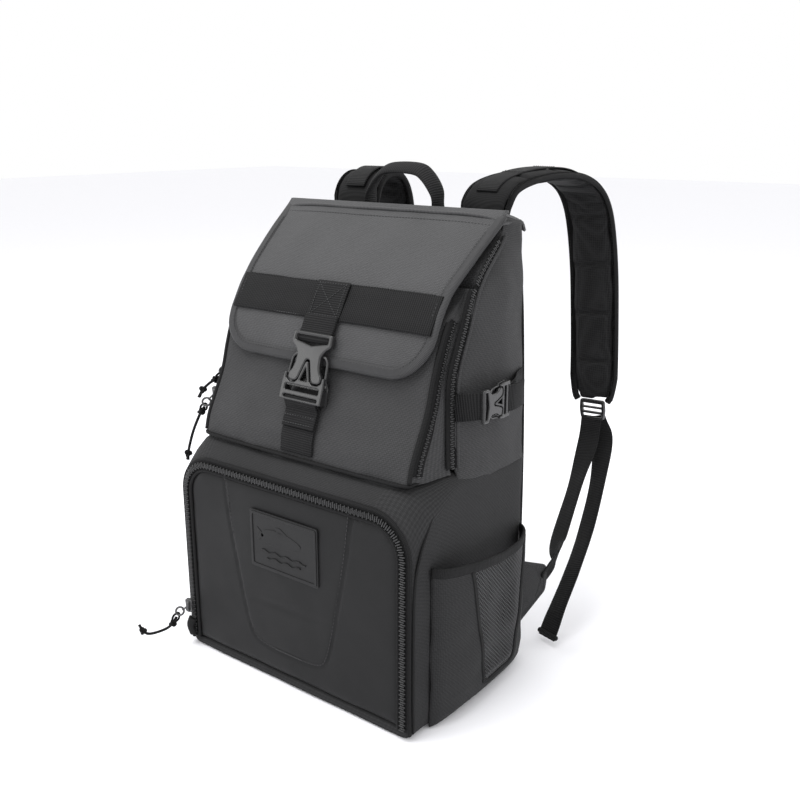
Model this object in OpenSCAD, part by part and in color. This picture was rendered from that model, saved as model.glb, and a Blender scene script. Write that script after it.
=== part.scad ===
// Tackle backpack: a front-loading tackle bay below, a flap-covered main
// compartment above, side pockets, buckled side straps and a padded harness.
// The bag faces -Y, +Z is up, and the origin is the centre of its base.

/* [Body] */
// Width of the tackle bay
body_w = 296; // [288:2:304]
// Depth from the bay door to the back panel
body_d = 194; // [190:1:198]
// Height of the seam where the flap is sewn on
top_h = 463; // [460:1:466]
// Height of the shelf under the main compartment
shelf_h = 236; // [234:1:238]
// Thickness of a padded wall
wall = 4; // [3:0.5:4.5]

/* [Door] */
// Half width of the zipped opening in the bay front
door_half = 140; // [138:1:141]
// Height of the top of the zipped opening
door_top = 212; // [208:1:214]
// Radius of the door's top corners
door_r = 34; // [28:1:38]

/* [Flap] */
// Half width of the flap at its front edge
flap_half = 127; // [124:1:130]
// Radius of the flap's front corners
flap_r = 40; // [30:1:44]
// Width of the sewn edge binding
binding_w = 8; // [6:0.5:10]

/* [Webbing] */
// Width of the centre webbing
wide_web = 40; // [38:1:42]
// Width of the side and harness webbing
web = 25; // [24:0.5:26]
// Thickness of webbing
web_t = 1.8; // [1.4:0.1:2]

/* [Harness] */
// Width of a shoulder pad
pad_w = 62; // [56:1:66]
// Thickness of a shoulder pad
pad_t = 12; // [10:0.5:13]
// Distance from the middle of the bag to the middle of a shoulder pad
pad_x = 79; // [78:0.5:82]

/* [Hidden] */
$fn = 48;

half_w = body_w / 2;
front_y = -body_d / 2;
back_y = body_d / 2;
seam_y = 63;                // where the flap meets the top panel
fabric_dark = "#2b2c2e";
fabric_grey = "#3b3c3e";
webbing_grey = "#242527";
plastic_grey = "#55575a";
mesh_grey = "#1d1e20";

// Outlines are [y, z] lines along the bag's middle, from the back forward or
// from the bottom up.
flap_line = [
    [seam_y, top_h], [24, top_h - 31], [-15, top_h - 67],
    [-36, top_h - 98], [-46, top_h - 121], [-50, top_h - 139]
];
pocket_line = [
    [-77, shelf_h + 5], [-73, shelf_h + 20], [-64, shelf_h + 38],
    [-51, shelf_h + 64], [-43, shelf_h + 90], [-34, shelf_h + 114],
    [-21, shelf_h + 138]
];
main_line = [
    [-56, shelf_h + 5], [-42, shelf_h + 54], [-31, shelf_h + 94],
    [-18, shelf_h + 126], [-4, shelf_h + 150], [9, shelf_h + 165]
];
zip_line = [
    [-24, shelf_h + 1], [-24, shelf_h + 26], [-22, shelf_h + 64],
    [-20, shelf_h + 92], [15, shelf_h + 168], [54, shelf_h + 205]
];
throat_line = [[61, top_h - 14], [18, top_h - 53]];

// Line helpers ---------------------------------------------------------------

function unit(v) = v / norm(v);
function reversed(list) = [for (i = [len(list) - 1:-1:0]) list[i]];
function heading(line, i) =
    let (last = len(line) - 1)
    unit(line[min(i + 1, last)] - line[max(i - 1, 0)]);
// Moves a [y, z] line sideways, to the left of its direction
function shifted(line, offset) = [
    for (i = [0:len(line) - 1])
        let (dir = heading(line, i))
        line[i] + offset * [-dir[1], dir[0]]
];
// Closed outline of a sheet between two offsets from a line
function sheet(line, inner, outer) =
    concat(shifted(line, inner), reversed(shifted(line, outer)));

// Extrudes a [y, z] outline from x0 to x1
module across(outline, x0, x1) {
    translate([x0, 0, 0])
        rotate([90, 0, 90])
            linear_extrude(x1 - x0)
                polygon(outline);
}

// Extrudes a 2-D child, drawn as x and z, from y0 back to y1
module front_view(y0, y1) {
    translate([0, y1, 0])
        rotate([90, 0, 0])
            linear_extrude(y1 - y0)
                children();
}

// Square with its two top corners rounded, drawn as x and z
module arch_2d(half, bottom, top, r) {
    translate([-half, bottom])
        square([2 * half, top - bottom - r]);
    translate([-half + r, bottom])
        square([2 * (half - r), top - bottom]);
    for (side = [-1, 1])
        translate([side * (half - r), top - r])
            circle(r);
}

// Sweeps a section, drawn as [across, normal] points, along a route
module swept(route, section, wide_dirs) {
    last = len(route) - 1;
    count = len(section);
    points = [
        for (i = [0:last])
            let (
                dir = unit(route[min(i + 1, last)] - route[max(i - 1, 0)]),
                normal = unit(cross(dir, wide_dirs[min(i, len(wide_dirs) - 1)])),
                side = cross(normal, dir)
            )
            for (p = section) route[i] + side * p[0] + normal * p[1]
    ];
    faces = concat(
        [[for (k = [0:count - 1]) k]],
        [for (i = [0:last - 1], k = [0:count - 1])
            let (a = i * count, b = a + count, next = (k + 1) % count)
            each [[a + k, b + k, b + next], [a + k, b + next, a + next]]],
        [[for (k = [count - 1:-1:0]) last * count + k]]
    );
    polyhedron(points, faces);
}

function flat_section(width, thick) = [
    [-width / 2, -thick / 2], [-width / 2, thick / 2],
    [width / 2, thick / 2], [width / 2, -thick / 2]
];
function pad_section(width, thick) = [
    [-width / 2, -thick / 5], [-width / 2, thick / 5],
    [-width / 2 + 7, thick / 2], [width / 2 - 7, thick / 2],
    [width / 2, thick / 5], [width / 2, -thick / 5],
    [width / 2 - 7, -thick / 2], [-width / 2 + 7, -thick / 2]
];
function round_section(diameter) =
    [for (k = [7:-1:0]) diameter / 2 * [cos(k * 45), sin(k * 45)]];

module mirrored(side) {
    if (side < 0)
        mirror([1, 0, 0])
            children();
    else
        children();
}

// Bag shell ------------------------------------------------------------------

module base_panel() {
    r = 14;
    color(fabric_dark)
        linear_extrude(wall)
            union() {
                square([body_w - 4, body_d - 4 - 2 * r], center = true);
                square([body_w - 4 - 2 * r, body_d - 4], center = true);
                for (sx = [-1, 1], sy = [-1, 1])
                    translate([sx * (half_w - 2 - r), sy * (back_y - 2 - r)])
                        circle(r);
            }
}

module base_board() {
    color(plastic_grey)
        translate([-half_w + 12, front_y + 16, wall])
            cube([body_w - 24, body_d - 36, 3]);
}

module back_panel() {
    color(fabric_dark)
        translate([-half_w + 2, back_y - 6, wall])
            cube([body_w - 4, 6, top_h - wall - 6]);
}

module back_stiffener() {
    color(plastic_grey)
        translate([-half_w + 16, back_y - 8.5, shelf_h + 4])
            cube([body_w - 32, 2.5, top_h - shelf_h - 30]);
}

// Two tall pads beside the spine and one across the lower back
module back_pads() {
    color(mesh_grey)
        translate([0, back_y, 0]) {
            for (side = [-1, 1])
                translate([side * 68 - 48, 0, 182])
                    cube([96, 11, 230]);
            translate([-116, 0, 48])
                cube([232, 13, 112]);
        }
}

module lower_side(side) {
    color(fabric_grey)
        mirrored(side)
            across([
                [front_y + 14, wall], [back_y - 6, wall],
                [back_y - 6, shelf_h], [front_y + 42, shelf_h],
                [front_y + 14, shelf_h - 42]
            ], half_w - wall, half_w);
}

// Front of the tackle bay: the frame that the door closes, with its sloping roof
module front_frame() {
    depth = 14;
    color(fabric_grey)
        difference() {
            intersection() {
                across([
                    [front_y, wall], [front_y, door_top + 4],
                    [front_y + 4, door_top + 12], [front_y + depth, shelf_h - wall],
                    [front_y + depth, wall]
                ], -half_w, half_w);
                front_view(front_y - 1, front_y + depth + 1)
                    arch_2d(half_w, 0, shelf_h, 42);
            }
            front_view(front_y - 1, front_y + depth + 1)
                arch_2d(door_half, 10, door_top, door_r);
        }
}

module divider_shelf() {
    color(fabric_dark)
        translate([-half_w + wall, front_y + 14, shelf_h - wall])
            cube([body_w - 2 * wall, body_d - 20, wall]);
}

module upper_side(side) {
    outline = concat(
        [[back_y - 7, shelf_h + 0.5]],
        [[back_y - 7, top_h - 24], [seam_y + 14, top_h - 8]],
        reversed(zip_line)
    );
    color(fabric_grey)
        mirrored(side)
            translate([half_w - 5, back_y - 7, 0])
                rotate([0, 0, -4])
                    translate([0, 7 - back_y, 0])
                        across(outline, -wall, 0);
}

module top_panel() {
    color(fabric_grey)
        translate([-133, seam_y + 4.4, top_h - 5.5])
            cube([266, back_y - seam_y - 4.4, 5.5]);
}

module throat_panel() {
    color(fabric_dark)
        across(sheet(throat_line, 0, 3), -128, 128);
}

module harness_yoke() {
    color(webbing_grey)
        translate([-118, back_y, top_h - 32])
            cube([236, 3, 27]);
}

// Side pockets ---------------------------------------------------------------

pocket_plan = [
    [half_w + 3.2, front_y + 27], [half_w + 11, front_y + 36],
    [half_w + 18, front_y + 62], [half_w + 20, 5],
    [half_w + 18, back_y - 48], [half_w + 11, back_y - 20],
    [half_w + 3.2, back_y - 10]
];

module side_pocket(side) {
    color(mesh_grey)
        mirrored(side) {
            translate([0, 0, 12])
                linear_extrude(138)
                    polygon(sheet(pocket_plan, 0, 2));
            translate([0, 0, 9])
                linear_extrude(3)
                    polygon(concat(pocket_plan,
                        [[half_w + 0.3, back_y - 10], [half_w + 0.3, front_y + 27]]));
        }
}

module pocket_binding(side) {
    color(webbing_grey)
        mirrored(side)
            translate([0, 0, 150])
                linear_extrude(binding_w)
                    polygon(sheet(pocket_plan, -0.8, 2.8));
}

// Tackle bay door ------------------------------------------------------------

module door_shape(inset) {
    arch_2d(door_half - inset, 10.4 + inset / 4, door_top - inset, door_r - inset);
}

module door_panel() {
    color(fabric_dark)
        front_view(front_y - 2, front_y + 3)
            door_shape(7);
}

module door_board() {
    color(plastic_grey)
        front_view(front_y + 3, front_y + 5)
            door_shape(12);
}

module door_zip_edge() {
    color(webbing_grey)
        front_view(front_y - 1, front_y + 1.5)
            difference() {
                door_shape(0.6);
                door_shape(7);
            }
}

module door_zip_frame() {
    color(webbing_grey)
        front_view(front_y - 1.2, front_y)
            difference() {
                arch_2d(door_half + 6, 8, door_top + 3, door_r + 6);
                translate([0, -10])
                    arch_2d(door_half, 8, door_top + 10, door_r);
            }
}

module door_badge() {
    color(plastic_grey)
        translate([0, 0, 154])
            front_view(front_y - 4, front_y - 2)
                difference() {
                    square([88, 60], center = true);
                    square([80, 52], center = true);
                }
    color(plastic_grey)
        translate([0, 0, 154])
            front_view(front_y - 3, front_y - 2)
                square([80, 52], center = true);
}

// Main front section and its pocket ------------------------------------------

module main_front_panel() {
    flange = concat(
        [[-29, shelf_h + 5]],
        [for (i = [1:3]) zip_line[i] - [5, 0]],
        [[9, shelf_h + 165]],
        reversed([for (i = [0:4]) main_line[i]])
    );
    color(fabric_grey) {
        across(sheet(main_line, 0, -3), -129, 129);
        for (side = [-1, 1])
            mirrored(side)
                across(flange, 129, 132);
    }
}

module front_pocket_gusset() {
    outline = concat(shifted(pocket_line, -3), reversed(shifted(
        [for (i = [0:3]) main_line[i]], 0.3)));
    color(fabric_grey) {
        for (side = [-1, 1])
            mirrored(side)
                across(outline, 126, 129);
        across([
            [-19.3, shelf_h + 134], [-14, shelf_h + 134],
            [-12, shelf_h + 137], [-17.7, shelf_h + 137]
        ], -126, 126);
    }
}

module front_pocket_panel() {
    color(fabric_grey)
        across(sheet(pocket_line, 0, -3), -129, 129);
}

module front_pocket_zip() {
    color(webbing_grey)
        for (side = [-1, 1])
            mirrored(side)
                across(sheet([for (i = [1:5]) pocket_line[i]], -3.5, -8), 129, 130.5);
}

module front_strap() {
    color(webbing_grey)
        across(sheet([for (i = [0:3]) pocket_line[i]], 0, 2 * web_t),
            -wide_web / 2, wide_web / 2);
}

// Flap -----------------------------------------------------------------------

module flap_outline(inset) {
    half = flap_half - inset;
    bottom = top_h - 139 + inset;
    r = flap_r - inset;
    intersection() {
        union() {
            polygon([
                [-half, bottom + r], [half, bottom + r], [half, top_h - 64],
                [half + 9, top_h + 4], [-half - 9, top_h + 4], [-half, top_h - 64]
            ]);
            translate([-half + r, bottom])
                square([2 * (half - r), r + 1]);
            for (side = [-1, 1])
                translate([side * (half - r), bottom + r])
                    circle(r);
        }
        translate([-half_w, bottom])
            square([body_w, 160]);
    }
}

module flap_panel() {
    color(fabric_grey)
        intersection() {
            across(sheet(flap_line, 0, 3), -half_w, half_w);
            front_view(-80, 80)
                flap_outline(binding_w);
        }
}

module flap_binding() {
    color(webbing_grey)
        intersection() {
            across(sheet(flap_line, -0.8, 3.6), -half_w, half_w);
            front_view(-80, 80)
                difference() {
                    flap_outline(0);
                    flap_outline(binding_w);
                }
        }
}

// Webbing band sewn across the flap, with the buckle strap's square patch on it
module flap_band() {
    band = [flap_line[2], flap_line[3]];
    color(webbing_grey) {
        across(sheet(band, 0, -web_t), -116, 116);
        across(sheet(band, -web_t, -2 * web_t), -wide_web / 2, wide_web / 2);
    }
}

// Loose end of the buckle strap, doubled round the male half's bar
module flap_strap() {
    color(webbing_grey)
        front_buckle_place()
            translate([-wide_web / 2, -web_t, 15.7])
                cube([wide_web, 2 * web_t, 12]);
}

// Buckles --------------------------------------------------------------------
// Both halves are drawn in a local frame: x across the webbing, z along it with
// the male half above, and y through the thickness with the outer face at -y.
// The female half's mouth is lowered by mouth, and the male half is longer by it.

module female_half(w, t, shell, web_w, mouth) {
    lip = 2;
    difference() {
        translate([-w / 2, -t / 2, -shell])
            cube([w, t, shell - mouth]);
        translate([-w / 2 + lip, -t / 2 + lip, -shell + 3])
            cube([w - 2 * lip, t - 2 * lip, shell]);
        for (side = [-1, 1])
            translate([side * w / 2 - w / 10, -t / 2 + lip, -shell * 0.75])
                cube([w / 5, t - 2 * lip, (shell - mouth) * 0.5]);
    }
    difference() {
        translate([-w / 2 + 2, -t / 4, -shell - 11])
            cube([w - 4, t / 2, 11]);
        for (row = [0, 1])
            translate([-web_w / 2 - 0.5, -t, -shell - 9 + row * 5])
                cube([web_w + 1, 2 * t, 3]);
    }
}

module male_half(w, t, shell, web_w, mouth) {
    gap = 0.5;
    inner = t / 2 - 2 - gap;
    difference() {
        translate([-w / 2, -t / 2 + 1, gap - mouth])
            cube([w, t - 2, 15 + mouth]);
        translate([-web_w / 2 - 0.5, -t, 8])
            cube([web_w + 1, 2 * t, 4]);
    }
    for (side = [-1, 1])
        translate([side * (w / 2 - 6) - 3, -inner, -shell * 0.8])
            cube([6, 2 * inner, shell * 0.8 + gap]);
    translate([-3, -inner, -shell * 0.6])
        cube([6, 2 * inner, shell * 0.6 + gap]);
}

big_w = 52;
big_t = 12;
big_shell = 28;
big_mouth = 8;              // lets the flap's edge pass over the female half
small_w = 33;
small_t = 10;
small_shell = 20;
small_mouth = 0;

module front_buckle_place() {
    translate([0, -56.5, top_h - 133.7])
        rotate([-20, 0, 0])
            children();
}

module side_buckle_place(side) {
    mirrored(side)
        translate([half_w + 14, 4, top_h - 162])
            rotate([90, 0, 0])
                rotate([0, 0, 90])
                    children();
}

module buckle_male() {
    color(plastic_grey)
        front_buckle_place()
            male_half(big_w, big_t, big_shell, wide_web, big_mouth);
}

module buckle_female() {
    color(plastic_grey)
        front_buckle_place()
            female_half(big_w, big_t, big_shell, wide_web, big_mouth);
}

module side_buckle_male(side) {
    color(plastic_grey)
        side_buckle_place(side)
            male_half(small_w, small_t, small_shell, web, small_mouth);
}

module side_buckle_female(side) {
    color(plastic_grey)
        side_buckle_place(side)
            female_half(small_w, small_t, small_shell, web, small_mouth);
}

// Side compression straps ----------------------------------------------------

side_z = top_h - 162;
side_front_route = [
    [half_w - 10, -20, side_z - 3], [half_w - 5, -19, side_z - 2],
    [half_w + 1, -16, side_z - 1], [half_w + 5, -12, side_z]
];
side_rear_route = [
    [half_w + 13, 37, side_z], [half_w + 9, 53, side_z + 1],
    [half_w + 2, 68, side_z + 2], [half_w - 2, 84, side_z + 3]
];

module side_web_front(side) {
    color(webbing_grey)
        mirrored(side)
            swept(side_front_route, flat_section(web, web_t), [[0, 0, 1]]);
}

module side_web_rear(side) {
    color(webbing_grey)
        mirrored(side)
            swept(side_rear_route, flat_section(web, web_t), [[0, 0, 1]]);
}

// Harness --------------------------------------------------------------------
// Pad routes are [distance behind the back panel, height]. The right strap is
// thrown back in a wide arch, and the left one hangs close behind the bag.

right_pad_line = [
    [16, top_h - 12], [19, top_h + 4], [34, top_h + 18], [70, top_h + 26],
    [115, top_h + 28], [150, top_h + 24], [180, top_h + 12], [197, top_h - 8],
    [205, top_h - 38], [208, top_h - 85], [206, top_h - 145],
    [203, top_h - 195], [199, top_h - 233]
];
left_pad_line = [
    [10, top_h - 12], [12, top_h + 6], [21, top_h + 20], [38, top_h + 27],
    [56, top_h + 23], [68, top_h + 6], [74, top_h - 24], [76, top_h - 65],
    [75, top_h - 130], [71, top_h - 185], [65, top_h - 230]
];
right_turn = 6;
left_turn = 0;
right_swing = 0.09;         // sideways drift of the right pad for each mm it hangs
right_lean = 4;             // slant of the right pad's end, which its lock hangs in line with

// Place in the row frame of a point on a pad line
function harness_point(p, turn, swing = 0) = [
    pad_x + p[0] * sin(turn) + swing * max(0, top_h + 12 - p[1]) * p[0] / 200,
    back_y + p[0] * cos(turn), p[1]
];

module shoulder_strap(line, turn, swing = 0) {
    color(fabric_dark)
        swept([for (p = line) harness_point(p, turn, swing)],
            pad_section(pad_w, pad_t), [[cos(turn), -sin(turn), 0]]);
}

right_end = harness_point(right_pad_line[12], right_turn, right_swing);
left_end = harness_point(left_pad_line[10], left_turn);

module ladder_lock(place, turn, lean = 0) {
    translate(place)
        rotate([0, -lean, -turn])
            difference() {
                translate([-16, -2, -23])
                    cube([32, 4, 22]);
                for (row = [0:2])
                    translate([-13, -3, -20 + row * 6])
                        cube([26, 6, 3.5]);
            }
}

module ladder_locks() {
    color(plastic_grey) {
        ladder_lock(right_end, right_turn, right_lean);
        mirror([1, 0, 0])
            ladder_lock(left_end, left_turn);
    }
}

wing_tip = [half_w + 9, back_y + 31, 79];
flat_across = [1, 0, 0];
slant_across = [0.8, 0, 0.6];
edge_across = [0.3, 0, 1];

module strap_webbing_right() {
    start = right_end + [0, 0, -25];
    route = [
        start, start + [2, -10, -24], start + [11, -54, -60],
        start + [23, -114, -105], wing_tip + [2, 24, 16], wing_tip + [0.5, 4.5, 1]
    ];
    color(webbing_grey)
        swept(route, flat_section(web, web_t),
            [flat_across, flat_across, slant_across, slant_across,
             edge_across, edge_across]);
}

module strap_webbing_left() {
    start = left_end + [0, 1, -25.5];
    route = [
        start, start + [6, -1, -24], start + [22, -6, -60],
        wing_tip + [-16, 12, 28], wing_tip + [-1, 3, 1]
    ];
    color(webbing_grey)
        mirror([1, 0, 0])
            swept(route, flat_section(web, web_t),
                [flat_across, flat_across, slant_across, edge_across, edge_across]);
}

module strap_tail_right() {
    start = right_end + [3, 5, -24];
    route = [
        start, start + [9, 3, -22], start + [22, -30, -60],
        start + [33, -78, -106], start + [40, -122, -138],
        start + [40, -153, -170], start + [37, -169, -199]
    ];
    color(webbing_grey)
        swept(route, flat_section(web, web_t),
            [flat_across, flat_across, slant_across]);
}

module strap_tail_left() {
    start = left_end + [3, 6, -24];
    route = [
        start, start + [11, 6, -28], start + [34, 6, -70],
        start + [62, 0, -120], start + [66, -12, -162], start + [64, -20, -200]
    ];
    color(webbing_grey)
        mirror([1, 0, 0])
            swept(route, flat_section(web, web_t),
                [flat_across, flat_across, slant_across]);
}

// Sewn triangles at the back's lower corners that hold the strap webbing
module strap_wings() {
    color(fabric_dark)
        for (side = [-1, 1])
            mirrored(side)
                translate([half_w - 2, back_y + 0.3, 0])
                    rotate([0, 0, -18])
                        across([[0, 38], [33, 66], [33, 92], [0, 106]], 0, 3);
}

handle_half = 43;

module grab_handle() {
    rise = top_h + 36;
    y = back_y - 10;
    route = [
        [-handle_half, y, top_h + 0.5], [-handle_half + 2, y, top_h + 14],
        [-handle_half + 14, y, rise - 6], [-14, y, rise], [14, y, rise],
        [handle_half - 14, y, rise - 6], [handle_half - 2, y, top_h + 14],
        [handle_half, y, top_h + 0.5]
    ];
    color(webbing_grey)
        swept(route, flat_section(18, 6), [[0, 1, 0]]);
}

// Zip sliders and their cord pulls -------------------------------------------

door_slide_at = [-door_half - 4, front_y - 5, 46];
main_slide_at = [-138.6, -28, shelf_h + 62];
pocket_slide_at = [-134, -58, shelf_h + 38];

module slider_body(at, w) {
    translate(at)
        difference() {
            cube([w, 6.5, 15], center = true);
            translate([0, -3, 0])
                cube([2, 3, 9], center = true);
        }
}

module pull_ring(at, lean) {
    translate(at)
        rotate(lean)
            rotate_extrude()
                translate([4.2, 0])
                    circle(1.1);
}

door_pull_route = [
    [-154, -113, 33], [-157, -116, 26], [-161, -120, 21],
    [-168, -127, 17], [-176, -134, 15], [-180, -138, 19], [-183, -140, 26]
];
main_pull_route = [
    [-147, -40, 286], [-150, -44, 283], [-154, -49, 279],
    [-158, -54, 273], [-161, -58, 265]
];
pocket_pull_route = [
    [-142, -67, 260], [-145, -69, 255], [-150, -70, 246],
    [-158, -70, 232], [-165, -70, 216], [-169, -70, 204], [-171, -70, 197]
];

module door_slider() {
    color(plastic_grey)
        slider_body(door_slide_at, 7);
}

module door_pull_ring() {
    color(plastic_grey)
        pull_ring([-151.6, -109.6, 39.6], [60, 0, 45]);
}

module door_pull_cord() {
    color(webbing_grey)
        swept(door_pull_route, round_section(3), [[0.7, -0.7, 0]]);
}

module main_slider() {
    color(plastic_grey)
        slider_body(main_slide_at, 5);
}

module main_pull_ring() {
    color(plastic_grey)
        pull_ring([-144.6, -36, 292], [60, 0, 40]);
}

module main_pull_cord() {
    color(webbing_grey)
        swept(main_pull_route, round_section(3), [[0.7, -0.7, 0]]);
}

module pocket_slider() {
    color(plastic_grey)
        slider_body(pocket_slide_at, 5);
}

module pocket_pull_ring() {
    color(plastic_grey)
        pull_ring([-140.6, -65, 265.4], [60, 0, 40]);
}

module pocket_pull_cord() {
    color(webbing_grey)
        swept(pocket_pull_route, round_section(3), [[0.7, -0.7, 0]]);
}

// Nodes ----------------------------------------------------------------------

base_panel();
base_board();
back_panel();
back_stiffener();
back_pads();
lower_side(-1);  // lower_side_left
lower_side(1);  // lower_side_right
front_frame();
divider_shelf();
upper_side(-1);  // upper_side_left
upper_side(1);  // upper_side_right
top_panel();
throat_panel();
harness_yoke();
side_pocket(-1);  // side_pocket_left
side_pocket(1);  // side_pocket_right
pocket_binding(-1);  // pocket_binding_left
pocket_binding(1);  // pocket_binding_right
door_zip_frame();
mirror([1, 0, 0]) shoulder_strap(left_pad_line, left_turn);  // shoulder_strap_left
shoulder_strap(right_pad_line, right_turn, right_swing);  // shoulder_strap_right
ladder_locks();
strap_webbing_left();
strap_webbing_right();
strap_tail_left();
strap_tail_right();
strap_wings();
side_web_front(-1);  // side_web_front_left
side_web_front(1);  // side_web_front_right
side_web_rear(-1);  // side_web_rear_left
side_web_rear(1);  // side_web_rear_right
side_buckle_female(-1);  // side_buckle_female_left
side_buckle_female(1);  // side_buckle_female_right
side_buckle_male(-1);  // side_buckle_male_left
side_buckle_male(1);  // side_buckle_male_right
grab_handle();
flap_panel();
flap_binding();
flap_band();
flap_strap();
buckle_male();
buckle_female();
main_front_panel();
front_pocket_gusset();
front_pocket_panel();
front_pocket_zip();
front_strap();
door_panel();
door_board();
door_zip_edge();
door_badge();
door_slider();
door_pull_ring();
door_pull_cord();
main_slider();
main_pull_ring();
main_pull_cord();
pocket_slider();
pocket_pull_ring();
pocket_pull_cord();
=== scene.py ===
from math import copysign, cos, exp, hypot, pi, radians, sin, sqrt

import bmesh
import bpy
import numpy as np
from mathutils import Matrix, Vector, noise


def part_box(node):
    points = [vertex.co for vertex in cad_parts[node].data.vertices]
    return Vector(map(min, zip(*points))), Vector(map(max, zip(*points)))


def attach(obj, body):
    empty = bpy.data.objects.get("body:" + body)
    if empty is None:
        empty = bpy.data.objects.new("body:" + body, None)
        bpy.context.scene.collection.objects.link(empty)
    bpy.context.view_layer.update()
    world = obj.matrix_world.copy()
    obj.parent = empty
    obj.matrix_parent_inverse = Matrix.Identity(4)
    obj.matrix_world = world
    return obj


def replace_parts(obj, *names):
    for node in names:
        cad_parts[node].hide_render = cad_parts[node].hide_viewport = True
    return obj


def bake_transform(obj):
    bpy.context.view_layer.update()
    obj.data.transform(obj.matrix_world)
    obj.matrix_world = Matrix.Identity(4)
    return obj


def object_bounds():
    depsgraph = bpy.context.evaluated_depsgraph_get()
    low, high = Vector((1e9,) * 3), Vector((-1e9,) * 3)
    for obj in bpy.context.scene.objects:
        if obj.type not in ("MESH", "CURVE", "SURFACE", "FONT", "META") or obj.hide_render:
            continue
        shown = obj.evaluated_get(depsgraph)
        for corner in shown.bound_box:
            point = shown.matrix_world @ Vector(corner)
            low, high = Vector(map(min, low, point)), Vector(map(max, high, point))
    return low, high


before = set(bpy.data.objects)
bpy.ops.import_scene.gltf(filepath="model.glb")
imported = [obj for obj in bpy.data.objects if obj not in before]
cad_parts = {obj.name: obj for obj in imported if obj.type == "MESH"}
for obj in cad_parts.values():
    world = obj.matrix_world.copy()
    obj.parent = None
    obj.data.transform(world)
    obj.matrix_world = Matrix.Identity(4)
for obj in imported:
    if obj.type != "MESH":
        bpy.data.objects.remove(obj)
cad_low, cad_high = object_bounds()

# Lengths below are millimetres until a mesh is made; Blender's own are metres.
MM = 0.001


def box(node):
    low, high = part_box(node)
    return low / MM, high / MM


def above(base, *points):
    """Points whose last value is a height measured from a base height"""
    return [(*p[:-1], base + p[-1]) for p in points]


# ---------------------------------------------------------------- main sizes
half_w = box("front_frame")[1].x
front_y = box("front_frame")[0].y
back_y = box("back_panel")[1].y
shelf_h = box("divider_shelf")[1].z
top_h = box("top_panel")[1].z
seam_y = 63
door_half = box("door_zip_edge")[1].x + 0.6
door_top = box("door_zip_edge")[1].z + 0.6
door_r = 34
flap_half = 127
flap_foot = top_h - 139
flap_r = 40
pocket_half = 130.5
band_h = top_h - 82.5
clip_h = top_h - 112
side_strap_h = top_h - 162
wide_web, wide_web_t = 40, 1.9
web, web_t = 25, 1.8
back_r = 11
SIDES = ((-1, "left"), (1, "right"))
FORWARD = (0, -1, 0)

# Side views of the flap, the pocket's face and the main zip, as [y, z]
flap_line = above(top_h, (seam_y, 0), (24, -31), (-15, -67), (-36, -98), (-46, -121), (-50, -139))
pocket_line = above(shelf_h, (-78, 2), (-73, 20), (-64, 38), (-51, 64), (-43, 90), (-34, 114),
                    (-21, 138), (-6, 150), (8, 163))
zip_line = above(shelf_h, (-24, -12), (-24, 26), (-22, 64), (-20, 92), (-4, 128), (15, 168),
                 (54, 205)) + [(62, top_h - 2)]

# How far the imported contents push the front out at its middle, by height
crown_by_height = above(shelf_h, (2, 0), (6, 26), (8, 49), (6.5, 64), (3.5, 82), (0.4, 94),
                        (0.4, 129), (0.6, 141), (3.6, 166), (3.5, 180), (1, 204)) + [(0, top_h)]


# --------------------------------------------------------------- line helpers
def distances(path):
    """How far along a path each of its points is"""
    return np.concatenate([[0], np.cumsum(np.linalg.norm(np.diff(path, axis=0), axis=1))])


def directions(path):
    """Unit vector along a path at each of its points"""
    ahead = np.gradient(path, axis=0)
    return ahead / np.linalg.norm(ahead, axis=1)[:, None]


def resample(line, step):
    """Evenly spaced points along a polyline"""
    line = np.array(line, float)
    along = distances(line)
    at = np.linspace(0, along[-1], max(2, round(along[-1] / step) + 1))
    return np.column_stack([np.interp(at, along, column) for column in line.T])


def smooth(points, step=4.0):
    """Evenly spaced points along a smooth curve through the given ones"""
    p = np.array(points, float)
    p = np.vstack([2 * p[0] - p[1], p, 2 * p[-1] - p[-2]])
    fine = []
    for a, b, c, d in zip(p, p[1:], p[2:], p[3:]):
        for t in np.linspace(0, 1, 14, endpoint=False):
            fine.append(0.5 * (2 * b + (c - a) * t + (2 * a - 5 * b + 4 * c - d) * t * t
                               + (3 * b - a - 3 * c + d) * t ** 3))
    fine.append(p[-2])
    return resample(fine, step)


def at_height(line):
    """Function that gives y at a height z on a smooth [y, z] line"""
    fine = smooth(line, 2)
    order = np.argsort(fine[:, 1])
    return lambda z: float(np.interp(z, fine[order, 1], fine[order, 0]))


flap_y = at_height(flap_line)
pocket_y = at_height(pocket_line)
zip_y = at_height(zip_line)


def slope_of(line_y, z, top=None):
    """Change of y with height on a [y, z] line"""
    high = z + 3 if top is None else min(z + 3, top)
    return (line_y(high) - line_y(z - 3)) / (high - z + 3)


def crown(x, z, half):
    """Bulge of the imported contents, dying out at half from the middle"""
    amounts, heights = zip(*crown_by_height)
    return float(np.interp(z, heights, amounts)) * max(0, 1 - (x / half) ** 2) ** 0.8


def arc(cx, cy, r, start, end, count):
    turn = np.radians(np.linspace(start, end, count))
    return [(cx + r * cos(t), cy + r * sin(t)) for t in turn]


def arch(half, bottom, top, r, r_low, between=14):
    """Closed front outline, [x, z], with a rounded top and small rounded foot"""
    arcs = [
        arc(half - r_low, bottom + r_low, r_low, -90, 0, 7), arc(half - r, top - r, r, 0, 90, 10),
        arc(r - half, top - r, r, 90, 180, 10),
        arc(r_low - half, bottom + r_low, r_low, 180, 270, 7),
    ]
    points = []
    for i, part in enumerate(arcs):
        points += part
        a, b = np.array(part[-1]), np.array(arcs[(i + 1) % 4][0])
        points += [tuple(a + (b - a) * t) for t in np.linspace(0, 1, between + 2)[1:-1]]
    return points


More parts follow.
